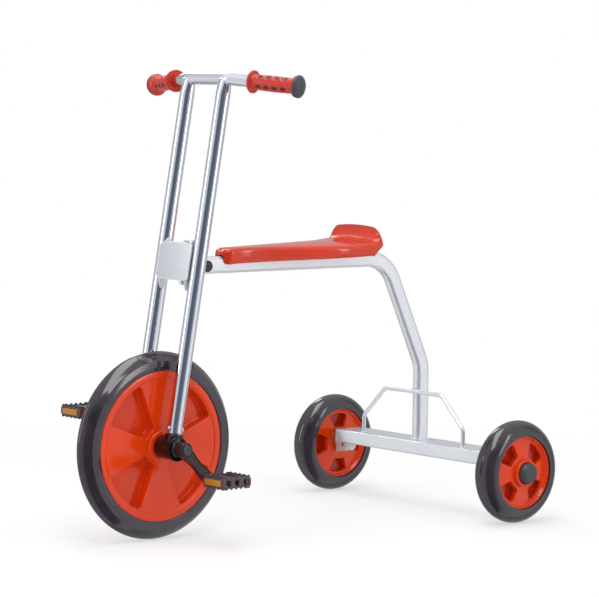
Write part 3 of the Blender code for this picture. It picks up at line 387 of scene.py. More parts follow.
def spangledZinc(name, look):
    # Bright zinc plate: faint crystal patches over a satin ground.
    material, tree, shader, coords = newMaterial(name, {"Metallic": look["metallic"]})
    cells = add(tree, "ShaderNodeTexVoronoi", {"Vector": coords, "Scale": look["spangleScale"]}, "Color")
    grey = add(tree, "ShaderNodeSeparateColor", {"Color": cells}, "Red")
    tone = calc(tree, "MULTIPLY_ADD", grey, look["spangle"], noise(tree, coords, look["cloudScale"], 5))
    color = tinted(tree, tone, look["color"], look["shade"], *surface["spangleSpread"])
    gloss = between(tree, tone, *look["roughness"], *surface["spangleSpread"])
    grain = noise(tree, coords, look["grainScale"], 2)
    dress(tree, shader, color, gloss, grain, look["grain"], surface["zincDepth"])
    return material


def rubber(name, look):
    # Solid rubber: satin black with a dusty bloom, mould grain and fine scuffs.
    material, tree, shader, coords = newMaterial(name, {"IOR": 1.52, "Specular IOR Level": look["specular"]})
    dust = noise(tree, coords, look["dustScale"], 6)
    color = tinted(tree, dust, look["color"], look["dust"], *surface["dustSpread"])
    grain = noise(tree, coords, look["grainScale"], 3)
    gloss = between(tree, dust, *look["roughness"])
    dress(tree, shader, color, gloss, grain, look["grain"], surface["grainDepth"])
    return material


def prismLens(name, look):
    # Reflector lens: a fine grid of prisms under a clear amber face.
    material, tree, shader, coords = newMaterial(name, {
        "IOR": 1.5, "Coat Weight": 0.25, "Coat Roughness": 0.04})
    grid = {"Vector": coords, "Scale": look["prismScale"], "Randomness": 0}
    cells = add(tree, "ShaderNodeTexVoronoi", grid, "Distance", distance="CHEBYCHEV")
    color = tinted(tree, cells, look["color"], look["shade"], *surface["prismSpread"])
    dress(tree, shader, color, look["roughness"], cells, look["bump"], surface["prismDepth"])
    return material


surface = {
    "noiseRoughness": 0.55, "driftScale": 9, "scuffScale": 70, "hollowEdge": (0.45, 0.8),
    "spangleSpread": (0.35, 0.85), "dustSpread": (0.4, 0.75), "prismSpread": (0.1, 0.5), "grainDepth": 0.0004,
    "markDepth": 0.0002, "zincDepth": 0.0003, "prismDepth": 0.0006,
}
plastics = {
    # discRed's hollow colour is painted shade for the pocket floors; gripRed's hollow colour makes its dimples
    # darker.
    "discRed": {"color": (0.77, 0.050, 0.003), "shade": (0.70, 0.042, 0.002), "hollow": (0.46, 0.018, 0.001),
                "roughness": (0.1, 0.16), "specular": 0.42, "grainScale": 700, "grain": 0.02},
    "seatRed": {"color": (0.63, 0.034, 0.004), "shade": (0.57, 0.028, 0.003), "roughness": (0.08, 0.15),
                "specular": 0.55, "grainScale": 400, "grain": 0.02},
    "gripRed": {"color": (0.56, 0.030, 0.014), "shade": (0.48, 0.026, 0.012), "hollow": (0.035, 0.012, 0.012),
                "roughness": (0.26, 0.36), "grainScale": 1500, "grain": 0.04},
    "housingBlack": {"color": (0.006, 0.004, 0.005), "shade": (0.010, 0.006, 0.007), "roughness": (0.08, 0.16),
                     "grainScale": 900, "grain": 0.06},
    "crankBlack": {"color": (0.024, 0.010, 0.009), "shade": (0.036, 0.016, 0.014), "roughness": (0.16, 0.28),
                   "specular": 0.34, "grainScale": 1300, "grain": 0.12},
    "pedalBlack": {"color": (0.060, 0.043, 0.047), "shade": (0.095, 0.068, 0.074), "roughness": (0.3, 0.45),
                   "grainScale": 1600, "grain": 0.2},
    "capGrey": {"color": (0.055, 0.060, 0.070), "shade": (0.042, 0.046, 0.056), "roughness": (0.36, 0.46),
                "grainScale": 1800, "grain": 0.2},
    "bushNylon": {"color": (0.66, 0.66, 0.60), "shade": (0.58, 0.58, 0.53), "roughness": (0.4, 0.5),
                  "grainScale": 1200, "grain": 0.1},
}
rubbers = {
    "tyreBlack": {"color": (0.023, 0.014, 0.023), "dust": (0.042, 0.031, 0.043), "roughness": (0.08, 0.15),
                  "specular": 0.7, "dustScale": 18, "grainScale": 900, "grain": 0.05},
    "stopBlack": {"color": (0.03, 0.032, 0.036), "dust": (0.06, 0.06, 0.065), "roughness": (0.55, 0.7),
                  "specular": 0.4, "dustScale": 60, "grainScale": 2000, "grain": 0.2},
}
metals = {
    "chromePlate": {"color": (0.80, 0.82, 0.86), "shade": (0.76, 0.78, 0.83), "roughness": (0.03, 0.07),
                    "toneScale": 12, "markScale": 60, "markStretch": (8, 8, 0.6), "bump": 0.02},
    "boltZinc": {"color": (0.72, 0.73, 0.74), "shade": (0.55, 0.56, 0.57), "roughness": (0.22, 0.38),
                 "toneScale": 180, "markScale": 300, "markStretch": (1, 1, 1), "bump": 0.05},
    "plainSteel": {"color": (0.56, 0.57, 0.58), "shade": (0.45, 0.46, 0.47), "roughness": (0.25, 0.4),
                   "toneScale": 90, "markScale": 400, "markStretch": (6, 1, 1), "bump": 0.05},
}
zincs = {
    "brightZinc": {"color": (0.80, 0.82, 0.85), "shade": (0.74, 0.76, 0.80), "roughness": (0.18, 0.28),
                   "metallic": 0.6, "spangleScale": 150, "spangle": 0.16, "cloudScale": 18, "grainScale": 700,
                   "grain": 0.02},
    "plateZinc": {"color": (0.70, 0.72, 0.76), "shade": (0.64, 0.66, 0.70), "roughness": (0.34, 0.46),
                  "metallic": 0.4, "spangleScale": 320, "spangle": 0.25, "cloudScale": 25, "grainScale": 1500,
                  "grain": 0.1},
    "saddleZinc": {"color": (0.82, 0.87, 0.82), "shade": (0.66, 0.72, 0.69), "roughness": (0.3, 0.45),
                   "metallic": 0.3, "spangleScale": 300, "spangle": 0.3, "cloudScale": 40, "grainScale": 1200,
                   "grain": 0.1},
}
lenses = {"amberLens": {"color": (0.56, 0.26, 0.008), "shade": (0.40, 0.15, 0.005), "roughness": 0.3,
                        "prismScale": 420, "bump": 0.5}}
paint = {}
for make, looks in ((plastic, plastics), (rubber, rubbers), (metal, metals), (spangledZinc, zincs),
                    (prismLens, lenses)):
    for name, look in looks.items():
        paint[name] = make(name, look)
print("materials made")


# Node trees for weld beads, bent rods, studs and dimples


def newTree(name, inputs):
    tree = bpy.data.node_groups.new(name, "GeometryNodeTree")
    for label, kind in {"Geometry": "Geometry", **inputs, "Material": "Material"}.items():
        tree.interface.new_socket(label, in_out="INPUT", socket_type="NodeSocket" + kind)
    tree.interface.new_socket("Geometry", in_out="OUTPUT", socket_type="NodeSocketGeometry")
    return tree, tree.nodes.new("NodeGroupInput").outputs


def closeTree(tree, geometry, given):
    # Every tree ends the same way: instances made real, then the material.
    real = add(tree, "GeometryNodeRealizeInstances", {"Geometry": geometry})
    coated = add(tree, "GeometryNodeSetMaterial", {"Geometry": real, "Material": given["Material"]})
    feed(tree, tree.nodes.new("NodeGroupOutput"), {"Geometry": coated})
    return tree


def runTree(tree, bm, values):
    # Runs a tree over a mesh and gives the result back as a bmesh.
    holder = asObject(bm, "source")
    modifier = holder.modifiers.new("tree", "NODES")
    modifier.node_group = tree
    for item in tree.interface.items_tree:
        if item.in_out == "INPUT" and item.name in values:
            modifier[item.identifier] = values[item.name]
    return taken(holder)


def polyline(points, closed=False):
    bm = bmesh.new()
    verts = [bm.verts.new(point) for point in points]
    for a, b in list(zip(verts, verts[1:])) + ([(verts[-1], verts[0])] if closed else []):
        bm.edges.new((a, b))
    return bm


def dots(points):
    bm = bmesh.new()
    for point in points:
        bm.verts.new(point)
    return bm


def makeBeadTree():
    # A weld: flat overlapping drops laid along a line.
    tree, given = newTree("weldBead", dict.fromkeys(("Pitch", "Bead Radius", "Flatness", "Wander"), "Float"))
    curve = add(tree, "GeometryNodeMeshToCurve", {"Mesh": given["Geometry"]})
    spaced = add(tree, "GeometryNodeResampleCurve", {"Curve": curve, "Length": given["Pitch"]}, mode="LENGTH")
    tangent = add(tree, "GeometryNodeInputTangent")
    turn = add(tree, "FunctionNodeAlignRotationToVector", {"Vector": tangent}, axis="X")
    drop = add(tree, "GeometryNodeMeshUVSphere", {"Segments": 10, "Rings": 6, "Radius": given["Bead Radius"]})
    low, high = calc(tree, "SUBTRACT", 1, given["Wander"]), calc(tree, "ADD", 1, given["Wander"])
    wide = add(tree, "FunctionNodeRandomValue", {2: low, 3: high, "Seed": 7}, 1, data_type="FLOAT")
    size = add(tree, "ShaderNodeCombineXYZ", {"X": given["Flatness"], "Y": wide, "Z": wide})
    return closeTree(tree, add(tree, "GeometryNodeInstanceOnPoints", {
        "Points": spaced, "Instance": drop, "Rotation": turn, "Scale": size}), given)


def makeRodTree():
    # A bent rod: a line with its corners filleted and a round section along it.
    tree, given = newTree("bentRod", {
        "Bend Radius": "Float", "Bend Steps": "Int", "Rod Radius": "Float", "Sides": "Int"})
    curve = add(tree, "GeometryNodeMeshToCurve", {"Mesh": given["Geometry"]})
    bent = add(tree, "GeometryNodeFilletCurve", {
        "Curve": curve, "Radius": given["Bend Radius"], "Count": given["Bend Steps"]}, mode="POLY")
    profile = add(tree, "GeometryNodeCurvePrimitiveCircle", {
        "Resolution": given["Sides"], "Radius": given["Rod Radius"]})
    return closeTree(tree, add(tree, "GeometryNodeCurveToMesh", {
        "Curve": bent, "Profile Curve": profile, "Fill Caps": True}), given)


def makeStudTree():
    # Small blocks standing on given points, turned to face away from an axis when asked.
    tree, given = newTree("studRow", {"Stud Size": "Vector", "Face Out": "Float"})
    points = add(tree, "GeometryNodeMeshToPoints", {"Mesh": given["Geometry"]})
    cube = add(tree, "GeometryNodeMeshCube", {"Size": given["Stud Size"]})
    spot = add(tree, "ShaderNodeSeparateXYZ", {"Vector": add(tree, "GeometryNodeInputPosition")}, None)
    angle = calc(tree, "MULTIPLY", calc(tree, "ARCTAN2", spot["Z"], spot["Y"]), given["Face Out"])
    turn = add(tree, "ShaderNodeCombineXYZ", {"X": angle})
    return closeTree(tree, add(tree, "GeometryNodeInstanceOnPoints", {
        "Points": points, "Instance": cube, "Rotation": turn}), given)


def makeDimpleTree():
    # Presses four rows of oval dimples into a turned handle that lies along X.
    labels = ("First", "Pitch", "Count", "Half Length", "Half Width", "Depth", "Radius")
    tree, given = newTree("gripDimples", dict.fromkeys(labels, "Float"))

    def do(operation, *values):
        return calc(tree, operation, *values)
    spot = add(tree, "ShaderNodeSeparateXYZ", {"Vector": add(tree, "GeometryNodeInputPosition")}, None)
    run = do("DIVIDE", do("SUBTRACT", spot["X"], given["First"]), given["Pitch"])
    nearest = do("MAXIMUM", do("MINIMUM", do("ROUND", run), do("SUBTRACT", given["Count"], 1)), 0)
    along = do("DIVIDE", do("MULTIPLY", do("SUBTRACT", run, nearest), given["Pitch"]), given["Half Length"])
    angle = do("ARCTAN2", spot["Z"], spot["Y"])
    quarter = do("DIVIDE", do("SUBTRACT", angle, pi / 4), pi / 2)
    around = do("MULTIPLY", do("SUBTRACT", quarter, do("ROUND", quarter)), pi / 2)
    around = do("DIVIDE", do("MULTIPLY", around, given["Radius"]), given["Half Width"])
    reach = do("SQRT", do("ADD", do("MULTIPLY", along, along), do("MULTIPLY", around, around)))
    fall = between(tree, reach, 0, 1, 1.1, 0.45, "SMOOTHSTEP")
    depth = do("MULTIPLY", do("MULTIPLY", fall, given["Depth"]), -1)
    inward = add(tree, "ShaderNodeCombineXYZ", {
        "Y": do("MULTIPLY", do("COSINE", angle), depth), "Z": do("MULTIPLY", do("SINE", angle), depth)})
    pressed = add(tree, "GeometryNodeSetPosition", {"Geometry": given["Geometry"], "Offset": inward})
    return closeTree(tree, add(tree, "GeometryNodeStoreNamedAttribute", {
        "Geometry": pressed, "Name": "dimple", "Value": fall}, data_type="FLOAT", domain="POINT"), given)


beadTree, rodTree, studTree, dimpleTree = makeBeadTree(), makeRodTree(), makeStudTree(), makeDimpleTree()
bead = {"pitch": 0.0017, "finePitch": 0.0015, "hoopPitch": 0.0014, "flatness": 0.62, "wander": 0.18}
beadRadius = {"leg": 0.0017, "cheek": 0.0019, "flange": 0.0016, "head": 0.0019, "post": 0.0021,
              "hoopFoot": 0.0016, "hoopTop": 0.0015, "saddle": 0.0016}


def weld(points, material, seam, closed=False, pitch=bead["pitch"]):
    return runTree(beadTree, polyline(points, closed), {
        "Pitch": pitch, "Bead Radius": beadRadius[seam], "Flatness": bead["flatness"],
        "Wander": bead["wander"], "Material": paint[material]})


# Wheels


def pocketDepth(angle, r, pocket):
    # How far a point of the disc lies inside its pocket, whose corners are round. Negative is outside.
    ring = min(pocket["outer"] - r, r - pocket["inner"])
    flank = (pocket["half"] - abs(angle)) * r
    corner = pocket["corner"]
    if ring < corner and flank < corner:
        return corner - hypot(corner - ring, corner - flank)
    return min(ring, flank)


def discFace(bm, side, disc, shift):
    # One face of a disc: four pockets with rounded rims, drafted walls and fillets at the floor.
    pocket, steps = disc["pocket"], disc["steps"]
    low, high = disc["low"], disc["high"]
    centre = (pocket["inner"] + pocket["outer"]) / 2
    edge, draft, fillet, floor = pocket["edge"], pocket["draft"], pocket["fillet"], pocket["floor"]
    quarter, lands = pi / 4, 5
    levels = [(-edge - pocket["apron"], 0, None)]
    levels += [(y - edge, edge - x, None) for x, y in arc(edge, 0, pi / 2, 5)]
    levels += [(draft + fillet - x, 0, floor + fillet - y) for x, y in arc(fillet, 0, pi / 2, 6)]
    levels += [(draft + fillet + pocket["level"], 0, floor)]
    square = [(-1 + 2 * i / steps, -1) for i in range(steps)] + [(1, -1 + 2 * i / steps) for i in range(steps)]
    square += [(-u, -v) for u, v in square]
    for number in range(4):
        middle = shift + quarter + number * pi / 2
        rows = [[] for _ in range(lands + len(levels))]
        for u, v in square:
            far = (u * quarter, low + (high - low) * (v + 1) / 2)

            def spot(t):
                return far[0] * t, centre + (far[1] - centre) * t

            def place(t, drop=0, level=None):
                angle, r = spot(t)
                x = disc["face"](r) - drop if level is None else level
                return side * x, r * cos(middle + angle), r * sin(middle + angle)
            found = []
            for depth, drop, level in levels:
                near, wide = 0, 1
                for _ in range(disc["halvings"]):
                    t = (near + wide) / 2
                    if pocketDepth(*spot(t), pocket) > depth:
                        near = t
                    else:
                        wide = t
                found.append(((near + wide) / 2, drop, level))
            column = [place(1 + (found[0][0] - 1) * k / lands) for k in range(lands)]
            column += [place(*step) for step in found]
            for row, point in zip(rows, column):
                row.append(point)
        bm.faces.new(skinned(bm, rows)[-1])


def discShell(disc, side=1, shift=0):
    bm = bmesh.new()
    count = 4 * disc["steps"]
    angles = [shift + 2 * pi * i / count for i in range(count)]
    discFace(bm, side, disc, shift)
    discFace(bm, -side, disc, shift)
    face, pocket = disc["face"], disc["pocket"]
    for start, near, far in ((disc["low"], disc["hubOut"], disc["hubIn"]),
                             (disc["high"], disc["rim"], disc["rim"])):
        outline = [(face(start), start), *near]
        outline += [(-x, r) for x, r in reversed([(face(start), start), *far])]
        skinned(bm, [[(side * x, r * cos(a), r * sin(a)) for a in angles] for x, r in outline])
    bmesh.ops.remove_doubles(bm, verts=bm.verts, dist=2e-6)
    mark = bm.verts.layers.float.new("dimple")  # how far down its pocket a point lies, which sets the painted pocket shade
    # Painted shade: the deeper a point sits in its pocket, the more of the darker red it takes, scaled by
    # dark.
    for vert in bm.verts:
        r = hypot(vert.co.y, vert.co.z)
        if pocket["inner"] - 0.001 < r < pocket["outer"] + 0.001:
            sunk = (face(r) - abs(vert.co.x)) / (face(r) - pocket["floor"])
            vert[mark] = disc["dark"] * min(1, max(0, sunk))
    return bm


frontHub = [(0.0205, 0.0294), (0.0210, 0.0287), (0.0226, 0.0281), (0.0234, 0.0276), (0.0238, 0.0266),
            (0.0238, 0.0108), (0.0235, 0.0104)]
frontDisc = {
    # dark sets how strongly the pockets take the painted shade.
    "steps": 32, "halvings": 22, "dark": 0.48, "low": 0.0305, "high": 0.1278, "face": lambda r: 0.0205,
    "pocket": {"inner": 0.036, "outer": 0.1262, "half": pi / 8, "corner": 0.0062, "edge": 0.0011,
               "draft": 0.0006, "fillet": 0.0022, "floor": 0.0017, "apron": 0.0006, "level": 0.0008},
    "hubOut": frontHub, "hubIn": frontHub,
    "rim": [(0.0205, 0.1284), (0.0208, 0.1289), (0.0217, 0.1292), (0.0221, 0.1295), (0.0223, 0.1301),
            (0.0223, 0.1412), (0.0220, 0.1418), (0.0212, 0.1420)],
}
frontTyre = {
    "outline": [(0.0222, 0.1423, 0), (0.0232, 0.1438, 0.001), (0.0235, 0.1502, 0.006),
                (0.0222, 0.1612, 0.0032), (0.0182, 0.1652, 0.0026)],
    "crownRadius": 0.010, "crownTop": 0.1775, "crownHalf": radians(28), "crownSteps": 14, "swell": 0.0009,
    "swellSteps": 8, "sides": 192,
}
rearDisc = {
    # dark sets how strongly the pockets take the painted shade.
    "steps": 24, "halvings": 22, "dark": 1, "low": 0.0302, "high": 0.0652,
    "face": lambda r: 0.0213 - (r - 0.029) * 0.006 / 0.037,
    "pocket": {"inner": 0.034, "outer": 0.0625, "half": pi / 8, "corner": 0.005, "edge": 0.0008,
               "draft": 0.0004, "fillet": 0.0016, "floor": 0.003, "apron": 0.0006, "level": 0.0008},
    "hubOut": [(0.0212, 0.0292), (0.0216, 0.0286), (0.0224, 0.0281), (0.0295, 0.0279), (0.0305, 0.0275),
               (0.031, 0.0267), (0.031, 0.0222), (0.0307, 0.0216), (0.0300, 0.0213), (0.0261, 0.0213),
               (0.026, 0.0118)],
    "hubIn": [(0.0211, 0.0292), (0.0208, 0.0284), (0.0205, 0.0276), (0.0205, 0.0122), (0.0202, 0.0118)],
    "rim": [(0.0154, 0.0660), (0.0158, 0.0666), (0.0217, 0.0688), (0.0222, 0.0692), (0.0223, 0.0698),
            (0.0223, 0.0712), (0.0219, 0.0718), (0.0210, 0.0720)],
}
rearTyre = {"round": 0.0262, "top": 0.1015, "start": -0.12, "steps": 44, "sides": 160,
            "seat": [(0.0222, 0.0723), (0.0248, 0.0722)]}
rearCap = {
    "profile": [(0.0263, 0.018, 0), (0.0263, 0.0207, 0.0004), (0.0300, 0.0209, 0), (0.0365, 0.0208, 0.002),
                (0.0428, 0.0178, 0.0045), (0.0440, 0.0118, 0.004), (0.0440, 0, 0)],
    "inside": [(0.0410, 0, 0), (0.0400, 0.010, 0.002), (0.0350, 0.017, 0.002)], "sides": 96,
}


def frontTyreProfile(tyre):
    half = softened(tyre["outline"], 5, False)
    spread = tyre["crownHalf"]
    crown = arc(tyre["crownRadius"], pi / 2 - spread, 2 * spread, tyre["crownSteps"])
    crown = shifted(crown, 0, tyre["crownTop"] - tyre["crownRadius"])
    first, last = Vector(half[-1]), Vector(crown[0])  # a full shoulder joins the side to the crown
    outward = Vector((last.y - first.y, first.x - last.x)).normalized()
    for k in range(1, tyre["swellSteps"]):
        share = k / tyre["swellSteps"]
        half.append(tuple(first.lerp(last, share) + outward * tyre["swell"] * 4 * share * (1 - share)))
    return half + crown + [(-x, r) for x, r in reversed(half)]


def rearTyreProfile(tyre):
    crown = arc(tyre["round"], tyre["start"], pi - 2 * tyre["start"], tyre["steps"])
    crown = shifted(crown, 0, tyre["top"] - tyre["round"])
    return tyre["seat"] + crown + [(-x, r) for x, r in reversed(tyre["seat"])]


piece("frontWheelDisc", discShell(frontDisc), "discRed", "front_wheel", "front_disc",
      wheelPlace, 50)
piece("frontTyre", turned(frontTyreProfile(frontTyre), frontTyre["sides"], True), "tyreBlack", "front_wheel",
      "front_tyre", wheelPlace, 32)
for word, side in words:
    hub = at(*joints[f"{word}_wheel_spin"]["pos_m"])
    body = f"{word}_wheel"
    piece(f"rearDisc_{word}", discShell(rearDisc, side, 0 if side > 0 else pi / 4), "discRed", body,
          f"rear_disc_{word}", hub, 50)
    piece(f"rearTyre_{word}", turned(rearTyreProfile(rearTyre), rearTyre["sides"], True), "tyreBlack", body,
          f"rear_tyre_{word}", hub, 50)
    cap = softened(rearCap["profile"], 6, False) + softened(rearCap["inside"], 4, False)
    piece(f"rearCap_{word}", mirrored(turned(cap, rearCap["sides"]), side), "capGrey", body,
          f"rear_cap_{word}", hub, 40)
print("wheels made")

# Cranks and pedals
crank = {
    "length": 0.068, "middle": 0.088, "flare": 0.016, "bend": 0.35, "half": 0.0058, "armBoss": 0.0132,
    "eyeRadius": 0.0105, "waist": 0.0036, "edge": 0.0022,
    "insets": ((0.00112, 0), (0.00128, -0.0012), (0.0008, 0)),
    "boss": [(0.078, 0.0103, 0), (0.078, 0.0136, 0.0006), (0.0786, 0.0145, 0.0008), (0.0972, 0.0145, 0.001),
             (0.098, 0.0134, 0.0006), (0.098, 0.0108, 0.0004), (0.0972, 0.0103, 0)],
    "eye": [(0.0979, 0.0049, 0), (0.0979, 0.0092, 0.0012), (0.1098, 0.0092, 0.0012), (0.1098, 0.0049, 0)],
    "cap": [(0.0966, 0, 0), (0.0966, 0.0095, 0), (0.1004, 0.0095, 0.0006), (0.1015, 0.0084, 0.0006),
            (0.1015, 0.0052, 0.0004), (0.1002, 0.0042, 0.0005), (0.1000, 0, 0)],
    "pin": [(0.0991, 0, 0), (0.0991, 0.0044, 0.0004), (0.1101, 0.0044, 0), (0.1101, 0.0072, 0.0006),
            (0.1131, 0.0075, 0.0005), (0.1191, 0.0075, 0.0008), (0.1203, 0.0062, 0.0005), (0.1205, 0.0044, 0),
            (0.1835, 0.0044, 0.0006), (0.1835, 0, 0)],
}


def hullOutline(first, second, gap, waist, steps=28, waistSteps=16):
    # Two rounded ends, the first at the origin and the second `gap` further on, with a waist between them.
    slant = pi / 2 - asin((first - second) / gap)
    points = shifted(arc(second, -slant, 2 * slant, steps), gap, 0)
    start, end = points[-1], (first * cos(slant), first * sin(slant))
    upper = []
    for k in range(1, waistSteps):
        share = k / waistSteps
        dip = waist * sin(pi * share) ** 2
        upper.append((start[0] + (end[0] - start[0]) * share, start[1] + (end[1] - start[1]) * share - dip))
    around = arc(first, slant, 2 * pi - 2 * slant, steps)
    return points + upper + around + [(x, -y) for x, y in reversed(upper)]


def crankBody(side, angle):
    # The arm is a flat bar with a sunk face, sheared outwards from the boss to the eye.
    low, high = crank["middle"] - crank["half"], crank["middle"] + crank["half"]
    outline = hullOutline(crank["armBoss"], crank["eyeRadius"], crank["length"], crank["waist"])
    arm = slab(outline, low, high, "X", crank["edge"], 4)
    bmesh.ops.recalc_face_normals(arm, faces=arm.faces)
    top = [face for face in arm.faces
           if abs(face.calc_center_median().x - high) < 1e-5 and len(face.verts) > 20]
    for thick, deep in crank["insets"]:
        bmesh.ops.inset_region(arm, faces=top, thickness=thick, depth=deep, use_even_offset=True)
    for vert in arm.verts:
        share = vert.co.y / crank["length"]
        vert.co.x += crank["flare"] * (smoothStep(share) * crank["bend"] + share * (1 - crank["bend"]))
    knob = moved(lathe(crank["eye"], 48), at(0, crank["length"], 0))
    whole = mirrored(merged(arm, lathe(crank["boss"], 72, 3), knob), side)
    return moved(whole, Matrix.Rotation(angle, 4, "X"))


pedal = {
    "inside": 0.133, "width": 0.060, "length": 0.066, "height": 0.024, "wall": 0.0062, "bar": 0.010,
    "tread": 0.0026, "endCorner": 0.0045, "endEdge": 0.0011,
    "windows": ((-0.0215, 0.0136), (0, 0.0104), (0.0215, 0.0136)), "windowHeight": 0.0125, "gap": 0.0003,
    "inset": 0.002, "railEdge": 0.0012, "web": (0.0135, 0.0165), "webTall": 0.55, "barrelRadius": 0.0085,
    "bore": 0.0049, "crossSpots": (-0.012, 0.012), "crossHalf": 0.0013, "crossTall": 0.5,
    "studSize": (0.0038, 0.0034), "studCount": 5, "studEnd": 0.0045, "studIn": 0.0022, "sideStuds": 0.0112,
    "studEdge": 0.0005, "lensWidth": 0.046, "lensHeight": 0.011, "lensDepth": 0.004, "lensSink": 0.0025,
}


def pedalFrame(side):
    # An open frame: two end plates, a front and a rear bar with lens pockets, a middle barrel and treads.
    low, high = pedal["inside"], pedal["inside"] + pedal["width"]
    long, tall = pedal["length"] / 2, pedal["height"] / 2
    wall, bar, tread, inset = pedal["wall"], pedal["bar"], pedal["tread"], pedal["inset"]
    middle = (low + high) / 2
    ends = boxOutline(pedal["length"] - 0.0002, 2 * (tall - tread), pedal["endCorner"])
    windows = [slab(shifted(boxOutline(wide, pedal["windowHeight"], pedal["endCorner"]), spot, 0),
                    high - wall - 0.001, high + 0.01, "X", 0) for spot, wide in pedal["windows"]]
    shapes = [slab(ends, low, low + wall, "X", pedal["endEdge"], 3),
              carved(slab(ends, high - wall, high, "X", pedal["endEdge"], 3), *windows)]
    lens, height = pedal["lensWidth"] / 2 + pedal["gap"], pedal["lensHeight"] / 2 + pedal["gap"]
    for end in (-1, 1):
        rail = boxed((low + inset, end * (long - bar), 0.001 - tall + tread),
                     (high - inset, end * (long - 0.0002), tall - tread - 0.001), pedal["railEdge"], 3)
        pocket = boxed((middle - lens, end * (long - pedal["lensSink"] - 0.0001), -height),
                       (middle + lens, end * (long + 0.01), height), 0)
        shapes.append(carved(rail, pocket))
        near, far = pedal["web"]
        shapes.append(boxed((low + inset, end * near, -tall * pedal["webTall"]),
                            (high - inset, end * far, tall * pedal["webTall"]), 0.0008))
    bore, radius = pedal["bore"], pedal["barrelRadius"]
    start, end = low + 0.001, high - 0.003
    barrel = [(start, bore, 0), (start, radius, 0.001), (end, radius, 0.001), (end, bore, 0)]
    shapes.append(lathe(barrel, 40, 3))
    for spot in pedal["crossSpots"]:
        x, half = middle + spot, pedal["crossHalf"]
        shapes.append(boxed((x - half, -long + bar - 0.001, -tall * pedal["crossTall"]),
                            (x + half, long - bar + 0.001, tall * pedal["crossTall"])))
    points = []
    count = pedal["studCount"]
    for level in (tread - tall, tall - tread):
        for k in range(count):
            x = low + pedal["studEnd"] + (pedal["width"] - 2 * pedal["studEnd"]) * k / (count - 1)
            for y in (long - pedal["studIn"], long - bar + pedal["studIn"]):
                points += [(x, -y, level), (x, y, level)]
        for x in (low + wall / 2, high - wall / 2):
            points += [(x, pedal["sideStuds"] * k, level) for k in range(-2, 3)]
    studs = runTree(studTree, dots(points), {
        "Stud Size": (*pedal["studSize"], tread * 2), "Face Out": 0.0, "Material": paint["pedalBlack"]})
    return mirrored(merged(*shapes, beveled(studs, studs.edges[:], pedal["studEdge"], 1)), side)


def lensBody(side, end):
    middle = pedal["inside"] + pedal["width"] / 2
    half, tall = pedal["lensWidth"] / 2, pedal["lensHeight"] / 2
    inner = pedal["length"] / 2 - pedal["lensSink"] + pedal["gap"]
    return mirrored(boxed((middle - half, end * inner, -tall),
                          (middle + half, end * (inner + pedal["lensDepth"]), tall), 0.0008, 3), side)


for word, side in words:
    eyeSpot = Vector(joints[f"{word}_pedal_spin"]["pos_m"])
    angle = atan2(eyeSpot.z - wheelSpot.z, eyeSpot.y - wheelSpot.y)
    piece(f"crankArm_{word}", crankBody(side, angle), "crankBlack", "front_wheel", f"crank_{word}",
          wheelPlace, 35)
    piece(f"crankCap_{word}", lathe(crank["cap"], 64, 4, side), "capGrey", "front_wheel", f"crank_cap_{word}",
          wheelPlace, 35)
    pinPlace = at(0, eyeSpot.y, eyeSpot.z)
    piece(f"pedalPin_{word}", lathe(crank["pin"], 48, 3, side), "plainSteel", "front_wheel",
          f"pedal_spindle_{word}", pinPlace, 35)
    piece(f"pedalBody_{word}", pedalFrame(side), "pedalBlack", f"{word}_pedal", f"pedal_{word}",
          pinPlace, 35)
    for name, end in (("front", -1), ("rear", 1)):
        piece(f"lens_{word}_{name}", lensBody(side, end), "amberLens", f"{word}_pedal",
              f"reflector_{word}_{name}", pinPlace, 35)
print("cranks and pedals made")

# Fork, handlebar and grips
fork = {
    "legX": 0.054, "legY": -0.012, "legRadius": 0.014, "legLow": 0.0208, "legEdge": (0.0005, 0.0006),
    "legSides": 72, "pinch": 0.030, "pinchDepth": 0.0031, "barAlong": 0.6975, "barGap": 0.0015,
    "barRadius": 0.011, "barCorner": 0.060, "barSweep": radians(17), "barPitch": radians(6), "barBend": 0.050,
    "weldWide": 1.01, "weldDeep": 0.0112, "weldReach": 0.99, "gripStart": 0.056, "gripLength": 0.1005,
    "boltAlong": 0.036, "boltEnds": 0.0143,
}
bolt = {"shank": 0.003, "head": 0.0055, "length": 0.0045, "washer": 0.0009, "hexShare": 0.93}


def barLine():
    # The middle of the bar, and the way each of its ends runs.
    back = Vector((0, cos(fork["barPitch"]), -sin(fork["barPitch"])))
    corner = Vector((fork["barCorner"], fork["legY"], fork["barAlong"]))
    outward = Vector((cos(fork["barSweep"]), 0, 0)) + back * sin(fork["barSweep"])
    end = corner + outward * (fork["gripStart"] + fork["gripLength"] - 0.001)
    flip = Vector((-1, 1, 1))
    return [end * flip, corner * flip, corner, end], corner, outward


def legTube(side):
    # A round tube whose top is pinched front to back where it is welded under the bar.
    radius, low, high = fork["legRadius"], fork["legLow"], fork["barAlong"] - fork["barGap"]
    inset, edge = fork["legEdge"]
    start, straight = high - fork["pinch"], low + edge
    levels = [low] + [straight + (start - straight) * k / 24 for k in range(25)]
    levels += [start + (high - start) * k / 16 for k in range(1, 17)]
    rings = []
    for z in levels:
        shrink = inset if z == low else 0
        deep = radius - fork["pinchDepth"] * smoothStep((z - start) / (high - start))
        rings.append([(side * fork["legX"] + (radius - shrink) * a, fork["legY"] + (deep - shrink) * b, z)
                      for a, b in ringOf(1, fork["legSides"])])
    return loft(rings)


def legWeld(side):
    # The bead follows the line where the pinched leg meets the underside of the bar.
    points, reach = [], fork["barRadius"] * fork["weldReach"]
    for a, b in ringOf(1, 96):
        y = min(max(fork["weldDeep"] * b, -reach), reach)
        points.append((side * fork["legX"] + fork["legRadius"] * fork["weldWide"] * a, fork["legY"] + y,
                       fork["barAlong"] - sqrt(fork["barRadius"] ** 2 - y ** 2)))
    return weld(points, "chromePlate", "leg", True, bead["finePitch"])


